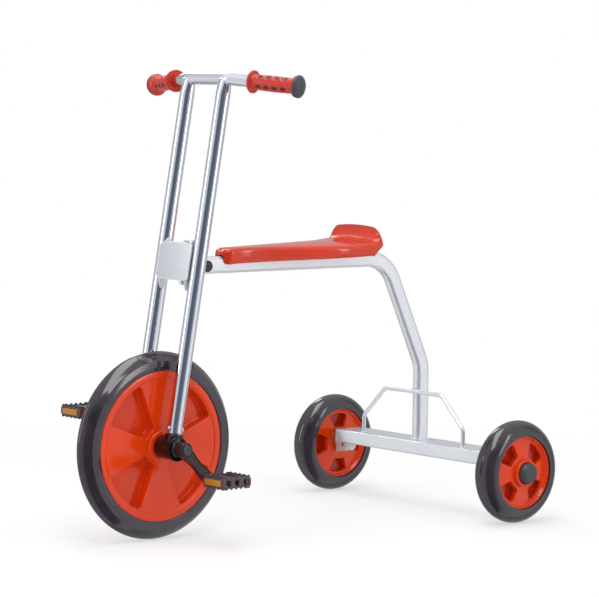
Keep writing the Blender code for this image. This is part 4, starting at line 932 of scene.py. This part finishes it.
def throughBolt(ends):
    # A bolt along X: a washer and a head at one end, a washer, a nut and a little thread at the other.
    shank, head, reach, far = bolt["shank"], bolt["head"], ends + bolt["length"], ends + bolt["washer"]
    washer = [(ends, shank, 0), (ends, head, 0.0002), (far, head, 0.0003), (far, shank, 0)]
    shapes = [rodShape(0.0002 - reach, reach - 0.0008, shank, 32)]
    for flip, short in ((1, 0.0002), (-1, 0.0012)):
        shapes.append(lathe(washer, 48, 2, flip))
        shapes.append(hexPiece(head * bolt["hexShare"], flip * (far - 0.0001), flip * (reach - short)))
    return merged(*shapes)


corners, barCorner, barOut = barLine()
bar = swept(bentPath(corners, fork["barBend"], 18, 0.012), (0, sin(fork["barPitch"]), cos(fork["barPitch"])),
            ringOf(fork["barRadius"], 64))
piece("handlebar", bar, "chromePlate", "fork", "handlebar", forkPlace)

housing = {
    "profile": [(0.0265, 0.0148, 0), (0.0265, 0.022, 0.0012), (0.0628, 0.022, 0.0008),
                (0.0640, 0.0232, 0.0006), (0.0718, 0.0232, 0.0008), (0.0725, 0.0222, 0.0004),
                (0.0725, 0.0200, 0.0005), (0.0700, 0.0192, 0.0006), (0.0695, 0.0160, 0.0006),
                (0.0722, 0.0154, 0.0003), (0.0722, 0.0148, 0)],
    "collar": [(0.004, 0.0143, 0), (0.004, 0.0178, 0), (0.0235, 0.0178, 0.0008), (0.0240, 0.0172, 0.0003),
               (0.0262, 0.0172, 0.0008), (0.0265, 0.0143, 0)],
    "notches": 26, "notchSize": (0.0022, 0.0014, 0.0024), "notchAlong": 0.0716, "notchRadius": 0.0211,
    "webLow": 0.010, "webRise": 0.0105, "webRadius": 0.0178, "webSpread": 0.0042, "webDeepest": 0.0215,
    "webSteps": 8,
    "bearing": [(0.0595, 0.0103, 0), (0.0595, 0.0145, 0.0003), (0.0714, 0.0145, 0.0004),
                (0.0714, 0.0132, 0.0002), (0.0708, 0.0130, 0.0002), (0.0708, 0.0118, 0.0002),
                (0.0714, 0.0116, 0.0002), (0.0714, 0.0103, 0.0003)],
}


def housingBody(side):
    # A barrel round the axle with a ring of notches, a collar up the leg and a web that joins the two.
    axle, legX = at(0, fork["legY"], 0), side * fork["legX"]
    ring = ringOf(housing["notchRadius"], housing["notches"])
    seats = dots([(side * housing["notchAlong"], a, b) for a, b in ring])
    teeth = runTree(studTree, seats, {
        "Stud Size": housing["notchSize"], "Face Out": 1.0, "Material": paint["housingBlack"]})
    web = []
    for k in range(housing["webSteps"] + 1):
        share = k / housing["webSteps"]
        wide = housing["webRadius"] + housing["webSpread"] * (1 - share) ** 2
        web.append([(legX + wide * a, fork["legY"] + min(wide, housing["webDeepest"]) * b,
                     housing["webLow"] + housing["webRise"] * share) for a, b in ringOf(1, 72)])
    return merged(moved(lathe(housing["profile"], 96, 4, side), axle),
                  moved(lathe(housing["collar"], 96), at(legX, fork["legY"], 0) @ alongZ), moved(teeth, axle),
                  loft(web))


grip = {
    "flange": [(0, 0.0113, 0), (0, 0.0205, 0.0009), (0.0012, 0.0215, 0.0009), (0.0045, 0.0215, 0.0012),
               (0.0056, 0.0200, 0.0008), (0.0062, 0.0158, 0.0012), (0.0092, 0.0141, 0.003)],
    "lip": [(0.0915, 0.0143, 0.004), (0.0968, 0.0190, 0.0012), (0.0978, 0.0205, 0.0008),
            (0.1003, 0.0205, 0.0006), (0.1004, 0.0113, 0)],
    "belly": 0.0009, "body": 0.0138, "sides": 128, "rows": 118, "first": 0.0205, "pitch": 0.0185, "count": 4.0,
    "dimpleLength": 0.0078, "dimpleWidth": 0.0056, "depth": 0.0022,
    "end": [(0.0828, 0, 0), (0.0828, 0.0088, 0.001), (0.1008, 0.0088, 0), (0.1008, 0.0208, 0.0006),
            (0.1024, 0.0215, 0.001), (0.1052, 0.0210, 0.002), (0.1092, 0.0152, 0.006), (0.1115, 0.0060, 0.004),
            (0.1118, 0, 0)],
}


def gripBody():
    lead, tail = softened(grip["flange"], 5, False), softened(grip["lip"], 5, False)
    body = []
    for k in range(1, grip["rows"]):
        share = k / grip["rows"]
        x, r = (a + (b - a) * share for a, b in zip(lead[-1], tail[0]))
        body.append((x, r + grip["belly"] * sin(pi * share)))
    return runTree(dimpleTree, turned(lead + body + tail, grip["sides"], True), {
        "First": grip["first"], "Pitch": grip["pitch"], "Count": grip["count"],
        "Half Length": grip["dimpleLength"], "Half Width": grip["dimpleWidth"], "Depth": grip["depth"],
        "Radius": grip["body"], "Material": paint["gripRed"]})


for word, side in words:
    piece(f"forkLeg_{word}", merged(legTube(side), legWeld(side)), "chromePlate", "fork", f"fork_leg_{word}",
          forkPlace, 45)
    piece(f"bearingHousing_{word}", housingBody(side), "housingBlack", "fork", f"bearing_housing_{word}",
          forkPlace, 32)
    piece(f"hubBearing_{word}", lathe(housing["bearing"], 96, 2, side), "plainSteel", "fork",
          f"hub_bearing_{word}", forkPlace @ at(0, fork["legY"], 0), 35)
    boltPlace = forkPlace @ at(side * fork["legX"], fork["legY"], fork["boltAlong"]) @ alongY
    piece(f"legBolt_{word}", throughBolt(fork["boltEnds"]), "boltZinc", "fork", f"leg_bolt_{word}",
          boltPlace, 35)
    flip = Vector((side, 1, 1))
    turn = Vector((1, 0, 0)).rotation_difference(barOut * flip).to_matrix().to_4x4()
    gripPlace = forkPlace @ at(*(barCorner * flip + barOut * flip * fork["gripStart"])) @ turn
    piece(f"grip_{word}", gripBody(), "gripRed", "fork", f"grip_{word}", gripPlace, 60)
    piece(f"gripEnd_{word}", lathe(grip["end"], 96, 6), "capGrey", "fork", f"grip_end_{word}",
          gripPlace, 40)
print("fork made")

# Steering bracket and its pivot
bracket = {
    "along": 0.350, "plate": 0.003, "half": 0.047, "rise": 0.0335, "drop": 0.038, "corner": 0.007,
    "stack": 0.0296, "flangeRadius": 0.0165, "flangeHalf": 0.034, "flangeHole": 0.0063, "cheekRise": 0.041,
    "cheekDrop": 0.055, "cheekBehind": 0.002, "gap": 0.0003, "lap": 0.001, "footChamfer": (0.004, 0.012),
    "crownChamfer": (0.005, 0.010), "cheekWelds": (0.002, 0.020, 0.016, 0.001), "cheekSeam": 0.0012,
    "flangeWeld": (0.010, 0.030), "flangeSeam": (0.0006, 0.0004),
}
foot, crown = bracket["along"] - bracket["cheekDrop"], bracket["along"] + bracket["cheekRise"]
legFront, legInside = fork["legY"] - fork["legRadius"], fork["legX"] - fork["legRadius"]


def bracketBody():
    # A plate across the fronts of the legs, two flanges back to the pivot and a cheek along each leg.
    back, plate = legFront - bracket["gap"], bracket["plate"]
    low, high = bracket["along"] - bracket["drop"], bracket["along"] + bracket["rise"]
    face = shifted(boxOutline(high - low, 2 * bracket["half"], bracket["corner"], 8), (low + high) / 2, 0)
    shapes = [slab(face, back - plate, back, "Y", 0.0009, 3)]
    wide, near, far = bracket["flangeHalf"], back - bracket["lap"], fork["legY"] + bracket["lap"]
    outline = [(wide, near), (wide, far)] + arc(bracket["flangeRadius"], radians(20), radians(140), 24)
    outline += [(-wide, far), (-wide, near)]
    for flip in (1, -1):
        base = bracket["along"] + flip * bracket["stack"]
        hole = moved(rodShape(base - 0.02, base + 0.02, bracket["flangeHole"], 48, 0), alongZ)
        shapes.append(carved(slab(outline, base, base + flip * plate, "Z", 0.0006, 2), hole))
    outer = legInside - bracket["gap"]
    rear = fork["legY"] - bracket["cheekBehind"]
    (footRun, footRise), (crownRun, crownDrop) = bracket["footChamfer"], bracket["crownChamfer"]
    cheek = [(near, foot + footRise, 0.003), (back + footRun, foot, 0.003), (rear, foot, 0.002),
             (rear, crown, 0.003), (back + crownRun, crown, 0.004), (near, crown - crownDrop, 0.003)]
    for flip in (1, -1):
        shapes.append(slab(softened(cheek, 5), flip * (outer - plate), flip * outer, "X", 0.0006, 2))
    return merged(*shapes)


def bracketWelds():
    # Beads where the cheeks lie along the legs and where the flanges meet the plate.
    shapes = []
    seam, (inset, lift) = bracket["cheekSeam"], bracket["flangeSeam"]
    y, edge = fork["legY"] - bracket["cheekBehind"] - seam, legFront + inset
    for flip in (1, -1):
        x, (a, b, c, d) = flip * (legInside - seam), bracket["cheekWelds"]
        for low, high in ((foot + a, foot + b), (crown - c, crown - d)):
            shapes.append(weld([(x, y, low), (x, y, high)], "plateZinc", "cheek"))
        for flange in (1, -1):
            z = bracket["along"] + flange * (bracket["stack"] + bracket["plate"] + lift)
            line = [(flip * across, edge, z) for across in bracket["flangeWeld"]]
            shapes.append(weld(line, "plateZinc", "flange"))
    return merged(*shapes)


piece("headBracket", merged(bracketBody(), bracketWelds()), "plateZinc", "fork", "head_bracket",
      forkPlace, 40)

pivot = {"radius": 0.006, "head": 0.0105, "length": 0.007, "seat": 0.0329, "end": 0.0439, "washer": 0.0012,
         "edge": 0.001, "nutBore": 0.0062, "washerBore": 0.0063}
along = bracket["along"]
top, bottom = along + pivot["seat"], along - pivot["seat"]
pivotBolt = merged(
    rodShape(along - pivot["end"], top + pivot["edge"], pivot["radius"]),
    hexPiece(pivot["head"], top + pivot["edge"], top + pivot["length"], pivot["edge"]),
    rodShape(top, top + pivot["washer"], pivot["head"], 64, 0.0003))
piece("pivotBolt", pivotBolt, "boltZinc", "fork", "pivot_bolt", forkPlace @ alongZ, 35)
washer, bore = bottom - pivot["washer"], pivot["washerBore"]
pivotNut = merged(
    carved(hexPiece(pivot["head"], bottom - pivot["length"], bottom - pivot["edge"], pivot["edge"]),
           rodShape(along - 0.06, along, pivot["nutBore"], 48, 0)),
    lathe([(washer, bore, 0), (washer, pivot["head"], 0), (bottom, pivot["head"], 0), (bottom, bore, 0)], 64))
piece("pivotNut", pivotNut, "boltZinc", "fork", "pivot_nut", forkPlace @ alongZ, 35)
print("steering bracket made")

# Backbone, head tube, stops, beam and hoop
backbone = {
    "width": 0.021, "depth": 0.033, "corner": 0.0085, "level": 0.5125, "ahead": 0.106, "slopeCorner": 0.291,
    "bend": 0.080, "postY": 0.380, "beamTop": 0.1368, "front": 0.006, "seamRadius": 0.0168,
    "headMargin": 0.0012, "postMargin": 0.001, "postSeam": 0.0006, "foot": 0.0002,
}
headTube = [(-0.026, 0.0125, 0), (-0.026, 0.016, 0.0008), (0.026, 0.016, 0.0008), (0.026, 0.0125, 0)]
headBush = [(0.009, 0.0063, 0), (0.009, 0.0122, 0), (0.0263, 0.0122, 0), (0.0263, 0.0155, 0.0004),
            (0.0293, 0.0155, 0.0008), (0.0293, 0.0063, 0.0003)]
headCentre = forkPlace @ Vector((0, 0, bracket["along"]))
postY, level, beamTop = backbone["postY"], backbone["level"], backbone["beamTop"]
corners = [(0, headCentre.y + backbone["front"], level), (0, postY - backbone["ahead"], level),
           (0, postY, backbone["slopeCorner"]), (0, postY, beamTop + backbone["foot"])]


def tubeOutline(margin, steps):
    return boxOutline(backbone["width"] + margin, backbone["depth"] + margin, backbone["corner"], steps)


def headSeam():
    # Where the backbone runs into the leaning head tube.
    points = []
    for a, b in tubeOutline(backbone["headMargin"], 10):
        axisY = headCentre.y + tan(lean) * (level + b - headCentre.z)
        points.append((a, axisY + sqrt(backbone["seamRadius"] ** 2 - a * a) / cos(lean), level + b))
    return points


postSeam = [(a, postY + b, beamTop + backbone["postSeam"]) for a, b in tubeOutline(backbone["postMargin"], 10)]
tube = merged(swept(bentPath(corners, backbone["bend"], 22, 0.015), (1, 0, 0), tubeOutline(0, 7)),
              weld(headSeam(), "brightZinc", "head", True), weld(postSeam, "brightZinc", "post", True))
piece("backboneTube", tube, "brightZinc", "frame", "backbone_tube", None, 50)
headPlace = forkPlace @ at(0, 0, bracket["along"]) @ alongZ
piece("headTube", lathe(headTube, 96, 3), "brightZinc", "frame", "head_tube", headPlace, 35)
for word, flip in (("upper", 1), ("lower", -1)):
    piece(f"headBush_{word}", lathe(headBush, 72, 3, flip), "bushNylon", "frame", f"head_bush_{word}",
          headPlace, 35)

stop = {"neck": 0.86, "neckLength": 0.0022, "flange": 0.0030, "round": 0.0032}
for word, side in words:
    low, high = [Vector(corner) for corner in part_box(f"steering_stop_{word}")]
    root, face = sorted((abs(low.x), abs(high.x)))
    radius, middle = (high.z - low.z) / 2, (low + high) / 2
    neck, start = radius * stop["neck"], root + stop["neckLength"]
    buffer = [(root, 0, 0), (root, neck, 0.0006), (start, neck, 0.0004),
              (root + stop["flange"], radius, 0.0008), (face, radius, stop["round"]), (face, 0, 0)]
    piece(f"steeringStop_{word}", lathe(buffer, 80, 7, side), "stopBlack", "frame", f"steering_stop_{word}",
          at(0, middle.y, middle.z), 40)

beam = {"half": 0.219, "depth": 0.072, "height": 0.027, "corner": 0.0045, "wall": 0.0022, "middle": 0.1233,
        "plugWall": 0.0027, "plugCorner": 0.002, "plugIn": 0.012, "plugHead": (0.0003, 0.0033),
        "plugLap": 0.001}
wall, half = beam["wall"], beam["half"]
outside = boxOutline(beam["depth"], beam["height"], beam["corner"], 6)
inside = boxOutline(beam["depth"] - 2 * wall, beam["height"] - 2 * wall, beam["corner"] - wall, 6)
plugWall = beam["plugWall"]
core = boxOutline(beam["depth"] - 2 * plugWall, beam["height"] - 2 * plugWall, beam["plugCorner"], 4)
beamPath = [Vector((x, postY, beam["middle"])) for x in (-half, -0.1, 0, 0.1, half)]
piece("rearBeam", swept(beamPath, (0, 1, 0), outside, inside), "brightZinc", "frame", "rear_beam",
      None, 50)
for word, side in words:
    near, far = beam["plugHead"]
    plug = merged(slab(outside, side * (half + near), side * (half + far), "X", 0.0012, 4),
                  slab(core, side * (half - beam["plugIn"]), side * (half + beam["plugLap"])))
    piece(f"beamPlug_{word}", plug, "pedalBlack", "frame", f"beam_plug_{word}",
          at(0, postY, beam["middle"]), 40)

hoop = {"radius": 0.0043, "foot": 0.147, "top": 0.083, "knee": 0.036, "rise": 0.099, "bend": 0.016,
        "steps": 10, "sides": 32, "footWeld": 0.0050, "footLift": 0.0006, "postWeld": 0.008, "weldSide": 0.7,
        "weldRise": 0.0040, "footGap": 0.0004, "postGap": 0.0003}
base = beamTop + hoop["footGap"]
hoopY = postY - backbone["depth"] / 2 - hoop["postGap"] - hoop["radius"]
leg = [(-hoop["foot"], hoopY, base), (-hoop["foot"], hoopY, base + hoop["knee"]),
       (-hoop["top"], hoopY, base + hoop["rise"])]
hoopParts = [runTree(rodTree, polyline(leg + [(-x, y, z) for x, y, z in reversed(leg)]), {
    "Bend Radius": hoop["bend"], "Bend Steps": hoop["steps"], "Rod Radius": hoop["radius"],
    "Sides": hoop["sides"], "Material": paint["brightZinc"]})]
y, z = hoopY + hoop["radius"] * hoop["weldSide"], base + hoop["rise"] + hoop["weldRise"]
line = [(x, y, z) for x in (-hoop["postWeld"], hoop["postWeld"])]
for side in (1, -1):  # a bead round each foot, and each time the one bead on the post
    ring = [(side * hoop["foot"] + a, hoopY + b, base + hoop["footLift"])
            for a, b in ringOf(hoop["footWeld"], 24)]
    hoopParts.append(weld(ring, "brightZinc", "hoopFoot", True, bead["hoopPitch"]))
    hoopParts.append(weld(line, "brightZinc", "hoopTop", False, bead["hoopPitch"]))
piece("hoopRail", merged(*hoopParts), "brightZinc", "frame", "hoop_rail", None, 50)
print("frame tubes made")

# Rear axle
saddle = {
    "inner": 0.0083, "wall": 0.004, "length": 0.054, "top": 0.0080, "outer": 0.248, "strap": 0.036,
    "plate": 0.0035, "deep": 0.0185, "shallow": 0.0079, "weld": (-0.024, 0.012), "seam": (0.0002, 0.0006),
    "boltGap": 0.0003, "stubStart": 0.2135, "stubRadius": 0.008, "headSpot": 0.0263, "headRadius": 0.0125,
    "headLength": 0.006,
}
axleSpot = Vector(joints["left_wheel_spin"]["pos_m"])
top, half, inner = saddle["top"], saddle["length"] / 2, saddle["inner"]
outer = inner + saddle["wall"]
shell = [(outer, top)] + arc(outer, 0, -pi, 24) + [(-outer, top), (-inner, top)]
shell += arc(inner, -pi, pi, 24) + [(inner, top)]
shell = [(max(a, saddle["plate"] / 2 - outer), b) for a, b in shell]
face = [(top, half, 0.001), (-saddle["deep"], half, 0.004), (-saddle["shallow"], -half, 0.002),
        (top, -half, 0.001)]
start, head = saddle["stubStart"], axleSpot.x + saddle["headSpot"]
radius, rim, end = saddle["stubRadius"], saddle["headRadius"], head + saddle["headLength"]
stub = [(start, 0, 0), (start, radius, 0.001), (head, radius, 0), (head, rim, 0.0008), (end, rim, 0.0014),
        (end, 0, 0)]
for word, side in words:
    strap = slab(shell, side * half, side * (half - saddle["strap"]), "X", 0.0005, 2)
    plate = slab(softened([(z, side * x, corner) for z, x, corner in face], 5), -outer,
                 saddle["plate"] - outer, "Y", 0.0006, 2)
    spot = at(side * (saddle["outer"] - half), axleSpot.y, axleSpot.z)
    outset, under = saddle["seam"]
    line = [(side * x, -outer - outset, top - under) for x in saddle["weld"]]
    piece(f"axleSaddle_{word}", merged(strap, plate, weld(line, "saddleZinc", "saddle")), "saddleZinc",
          "frame", f"axle_saddle_{word}", spot, 40)
    piece(f"saddleBolt_{word}", throughBolt(outer + saddle["boltGap"]), "boltZinc", "frame",
          f"saddle_bolt_{word}", spot @ alongY, 35)
    piece(f"axleStub_{word}", lathe(stub, 64, 4, side), "plainSteel", "frame", f"rear_stub_{word}",
          at(0, axleSpot.y, axleSpot.z), 35)
print("rear axle made")

# Seat
seat = {
    "front": -0.158, "length": 0.355, "noseHalf": 0.0225, "rearHalf": 0.079, "flare": (0.05, 0.85),
    "noseTop": 0.5433, "rearTop": 0.5538, "bottomDrop": 0.0323, "bottomRise": 0.0115, "corner": 0.008,
    "crown": 0.007, "taper": 0.006, "innerTaper": 0.0042, "innerDrop": 0.02, "bulgeTo": 0.55, "swell": 0.003,
    "swellLength": 0.048, "lipHeight": 0.0247, "lipLength": 0.0175, "lipTop": 0.004, "lipRoll": 0.0016,
    "lipFull": 0.6, "lipPower": 2.4, "noseRound": 0.020, "noseDrop": 0.008, "noseLift": 0.015,
    "noseFront": 0.16, "tuck": 0.018, "tuckLength": 0.030, "tuckTop": 0.546, "tuckHeight": 0.020,
    "wall": 0.004, "valley": 0.0035, "valleyHalf": 0.011, "valleyLength": 0.042,
    "notch": (0.012, 0.47, 0.5305), "bosses": (0.21, 0.775), "bossLow": 0.5381, "bossRadius": 0.008,
    "bossBore": 0.0033, "bossCover": 0.002,
}
lipStart = seat["length"] - seat["lipLength"] - seat["lipTop"]


def seatRow(y, inset):
    # One cross-section of the seat from its lower right edge over the top to its lower left edge.
    s = seat
    share = y / s["length"]
    widen = smoothStep((share - s["flare"][0]) / (s["flare"][1] - s["flare"][0]))
    half = s["noseHalf"] + (s["rearHalf"] - s["noseHalf"]) * widen
    nose = min(max((y - inset) / s["noseRound"], 0), 1)
    blunt = 1 - sqrt(max(1 - (1 - nose) ** 2, 0))
    half = (half - inset) * (1 - (1 - s["noseFront"]) * blunt)
    top = s["noseTop"] + (s["rearTop"] - s["noseTop"]) * share - inset - s["noseDrop"] * blunt
    low = s["noseTop"] - s["bottomDrop"] + s["bottomRise"] * share + s["noseLift"] * blunt
    low -= s["innerDrop"] if inset else 0
    lip = s["swell"] * smoothStep((y - lipStart + s["swellLength"]) / s["swellLength"])
    if not inset:
        climb = min(max((y - lipStart) / s["lipLength"], 0), 1)
        over = max(0, (y - s["length"] + s["lipTop"]) / s["lipTop"])
        lip += s["lipHeight"] * (1 - sqrt(1 - climb ** 2)) - s["lipRoll"] * over ** 3
    corner = min(s["corner"], half * 0.6)
    straight = 1 - corner / half
    points = []
    for k in range(37):
        q = cos(pi / 2 * k / 36)
        over = max(0, (q - straight) / (1 - straight))
        fall = max(0, (q - s["lipFull"]) / (1 - s["lipFull"])) ** s["lipPower"]
        groove = 0.5 + 0.5 * cos(pi * min(half * q / s["valleyHalf"], 1))
        z = top - corner * (1 - sqrt(max(1 - over ** 2, 0))) + lip * (1 - fall) - s["crown"] * widen * q * q
        points.append((half * q, z - s["valley"] * groove * (1 - smoothStep(y / s["valleyLength"]))))
    flank = []
    for k in range(12):
        t = k / 12
        bulge = 1 - (1 - min(t / s["bulgeTo"], 1)) ** 2
        taper = s["innerTaper"] if inset else s["taper"]
        flank.append((half - taper * (1 - bulge), low + (points[0][1] - low) * t))
    right = flank + points
    return right + [(-x, z) for x, z in reversed(right[:-1])]


def seatForm(inset):
    s = seat
    stations = [s["noseRound"] * (1 - cos(pi / 2 * k / 16)) for k in range(17)]
    stations += [s["noseRound"] + (lipStart - s["noseRound"]) * k / 70 for k in range(1, 70)]
    stations += [lipStart + s["lipLength"] * sin(pi / 2 * k / 20) for k in range(21)]
    stations += [s["length"] - s["lipTop"] * (1 - sin(pi / 2 * k / 6)) for k in range(1, 7)]
    rings = []
    for station in stations:
        y = inset + station * (s["length"] - 2 * inset) / s["length"]
        nearEnd = smoothStep((y - s["length"] + s["tuckLength"]) / s["tuckLength"])
        ring = []
        for x, z in seatRow(y, inset):
            tuck = s["tuck"] * nearEnd * smoothStep((s["tuckTop"] - z) / s["tuckHeight"])
            ring.append((x, s["front"] + y - tuck, z))
        rings.append(ring)
    bm = bmesh.new()
    rows = skinned(bm, rings)
    for row in (rows[0], rows[-1]):  # each end is closed by level strips
        for i in range(len(row) // 2):
            strip = [row[i], row[i + 1], row[-2 - i], row[-1 - i]]
            bm.faces.new(strip if strip[1] is not strip[2] else strip[:2] + strip[3:])
    return bm


def seatBody():
    # A hollow shell with a notch for the backbone at each end and two bosses for the screws.
    front, back, (half, low, high) = seat["front"], seat["front"] + seat["length"], seat["notch"]
    notch = boxed((-half, front - 0.02, low), (half, back + 0.02, high), 0.003, 4)
    shapes = [carved(seatForm(0), seatForm(seat["wall"]), notch)]
    radius, bore, low = seat["bossRadius"], seat["bossBore"], seat["bossLow"]
    for share in seat["bosses"]:
        y = share * seat["length"]
        crest = seatRow(y, 0)
        high = crest[len(crest) // 2][1] - seat["bossCover"]
        boss = lathe([(low, bore, 0), (low, radius, 0.0006), (high, radius, 0), (high, bore, 0)], 40, 3)
        shapes.append(moved(boss, at(0, front + y, 0) @ alongZ))
    return merged(*shapes)


piece("seatShell", seatBody(), "seatRed", "frame", "seat_shell", None, 55)
print("seat made")

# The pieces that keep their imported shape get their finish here.
for name, material in (("front_axle", "plainSteel"), ("rear_bush_left", "bushNylon"),
                       ("rear_bush_right", "bushNylon"), ("seat_bracket_front", "brightZinc"),
                       ("seat_bracket_rear", "brightZinc"), ("seat_screw_front", "boltZinc"),
                       ("seat_screw_rear", "boltZinc")):
    frame["nodes"][name].material_slots[0].material = paint[material]

# Studio: a white floor and surround, four soft lamps and the photograph's camera
studio = {
    "ambient": 0.68, "floorSize": 14, "floorDrop": 0.0002, "floorGrey": 0.9, "floorWhite": 0.57,
    "fadeFrom": 0.75, "fadeTo": 1.7, "ceiling": (0.42, 0.85), "ceilingWhite": (0.95, 0.96, 0.98, 1),
    "surround": ((-180, (0.60, 0.61, 0.63)), (-110, (0.42, 0.43, 0.45)), (-76, (0.45, 0.46, 0.48)),
                 (-45, (0.86, 0.88, 0.90)), (-12, (0.72, 0.75, 0.80)), (12, (0.66, 0.69, 0.75)),
                 (26, (0.13, 0.15, 0.20)), (50, (0.10, 0.12, 0.165)), (74, (0.14, 0.155, 0.21)),
                 (92, (0.28, 0.28, 0.36)), (106, (0.80, 0.80, 0.88)), (124, (0.92, 0.92, 0.96)),
                 (138, (1.0, 1.0, 1.0)), (154, (0.55, 0.56, 0.6)), (164, (0.42, 0.43, 0.46)),
                 (180, (0.60, 0.61, 0.63))),
}
lamps = {
    "softboxAbove": {"power": 38, "spot": (0.45, -0.5, 2.6), "aim": (0.2, -0.3, 0.3), "size": (1.0, 3.2)},
    "softboxFront": {"power": 12, "spot": (-1.5, -3.0, 1.3), "aim": (0, 0, 0.35), "size": (0.45, 2.2)},
    "softboxSide": {"power": 13, "spot": (3.2, 1.5, 1.4), "aim": (0, 0, 0.35), "size": (0.4, 2.2)},
    "softboxBack": {"power": 9, "spot": (-2.6, 1.3, 2.2), "aim": (0, 0.2, 0.5), "size": (0.5, 1.4)},
}
photo = {"focal": 2660, "width": 599, "sensor": 36, "turn": 49.017, "rise": 4.519, "roll": 0.824,
         "spot": (3.92066, -3.35807, 0.84972)}


def mixed(tree, share, first, second):
    return add(tree, "ShaderNodeMixShader", {0: share, 1: first, 2: second})


def makeFloor():
    grid = bmesh.new()
    bmesh.ops.create_grid(grid, x_segments=1, y_segments=1, size=studio["floorSize"])
    ground = asObject(grid, "studioFloor")
    ground.location.z = -studio["floorDrop"]
    material, tree, shader, coords = newMaterial("studioFloor", {
        "Base Color": (*[studio["floorGrey"]] * 3, 1), "Roughness": 1, "Specular IOR Level": 0})
    path = add(tree, "ShaderNodeLightPath", output=None)
    # Away from the object the floor turns into the white background.
    reach = add(tree, "ShaderNodeVectorMath", {0: coords}, "Value", operation="LENGTH")
    fade = between(tree, reach, studio["floorWhite"], 1, studio["fadeFrom"], studio["fadeTo"], "SMOOTHSTEP")
    white = calc(tree, "MULTIPLY", fade, path["Is Camera Ray"])
    seen = mixed(tree, white, shader.outputs["BSDF"], add(tree, "ShaderNodeEmission"))
    # Polished metal shows the studio's walls down to the foot.
    passed = mixed(tree, path["Is Glossy Ray"], seen, add(tree, "ShaderNodeBsdfTransparent"))
    feed(tree, tree.nodes["Material Output"], {"Surface": passed})
    ground.data.materials.append(material)


def makeWorld():
    # Plain white to the eye, even light on the object, and light and dark studio walls in polished metal.
    world = bpy.data.worlds.new("studio")
    bpy.context.scene.world = world
    world.use_nodes = True
    tree = world.node_tree
    even = tree.nodes["Background"]
    feed(tree, even, {"Color": (1, 1, 1, 1), "Strength": studio["ambient"]})
    coords = add(tree, "ShaderNodeTexCoord", output="Generated")
    parts = add(tree, "ShaderNodeSeparateXYZ", {"Vector": coords}, None)
    turn = calc(tree, "ARCTAN2", parts["X"], calc(tree, "MULTIPLY", parts["Y"], -1))
    walls = tree.nodes.new("ShaderNodeValToRGB")
    stops = walls.color_ramp.elements
    for index, (angle, color) in enumerate(studio["surround"]):
        share = (angle + 180) / 360
        stop = stops[index] if index < 2 else stops.new(share)
        stop.position, stop.color = share, (*color, 1)
    feed(tree, walls, {"Fac": between(tree, turn, 0, 1, -pi, pi)})
    height = between(tree, parts["Z"], 0, 1, *studio["ceiling"], "SMOOTHSTEP")
    raised = add(tree, "ShaderNodeMix", {0: height, 6: walls.outputs["Color"], 7: studio["ceilingWhite"]}, 2,
                 data_type="RGBA")
    polished = add(tree, "ShaderNodeBackground", {"Color": raised})
    white = add(tree, "ShaderNodeBackground", {"Color": (1, 1, 1, 1)})
    path = add(tree, "ShaderNodeLightPath", output=None)
    inner = mixed(tree, path["Is Glossy Ray"], even.outputs["Background"], polished)
    direct = calc(tree, "MAXIMUM", path["Is Camera Ray"], path["Is Transmission Ray"])
    feed(tree, tree.nodes["World Output"], {"Surface": mixed(tree, direct, inner, white)})


def makeCamera():
    data = bpy.data.cameras.new("photoCamera")
    data.sensor_width, data.lens = photo["sensor"], photo["focal"] / photo["width"] * photo["sensor"]
    camera = bpy.data.objects.new("photoCamera", data)
    turn, rise, roll = (radians(photo[word]) for word in ("turn", "rise", "roll"))
    back = Vector((sin(turn) * cos(rise), -cos(turn) * cos(rise), sin(rise)))
    right = Vector((cos(turn), sin(turn), 0))
    up = back.cross(right)
    across, upright = right * cos(roll) + up * sin(roll), up * cos(roll) - right * sin(roll)
    camera.matrix_world = at(*photo["spot"]) @ Matrix((across, upright, back)).transposed().to_4x4()
    bpy.context.scene.collection.objects.link(camera)
    bpy.context.scene.camera = camera


makeFloor()
makeWorld()
for name, lamp in lamps.items():
    data = bpy.data.lights.new(name, "AREA")
    data.shape, data.energy = "RECTANGLE", lamp["power"]
    data.size, data.size_y = lamp["size"]
    item = bpy.data.objects.new(name, data)
    item.location = lamp["spot"]
    item.rotation_euler = (Vector(lamp["aim"]) - Vector(lamp["spot"])).to_track_quat("-Z", "Y").to_euler()
    bpy.context.scene.collection.objects.link(item)
makeCamera()
bpy.context.scene.view_settings.view_transform = "Standard"
print("studio made")
print("scene ready")
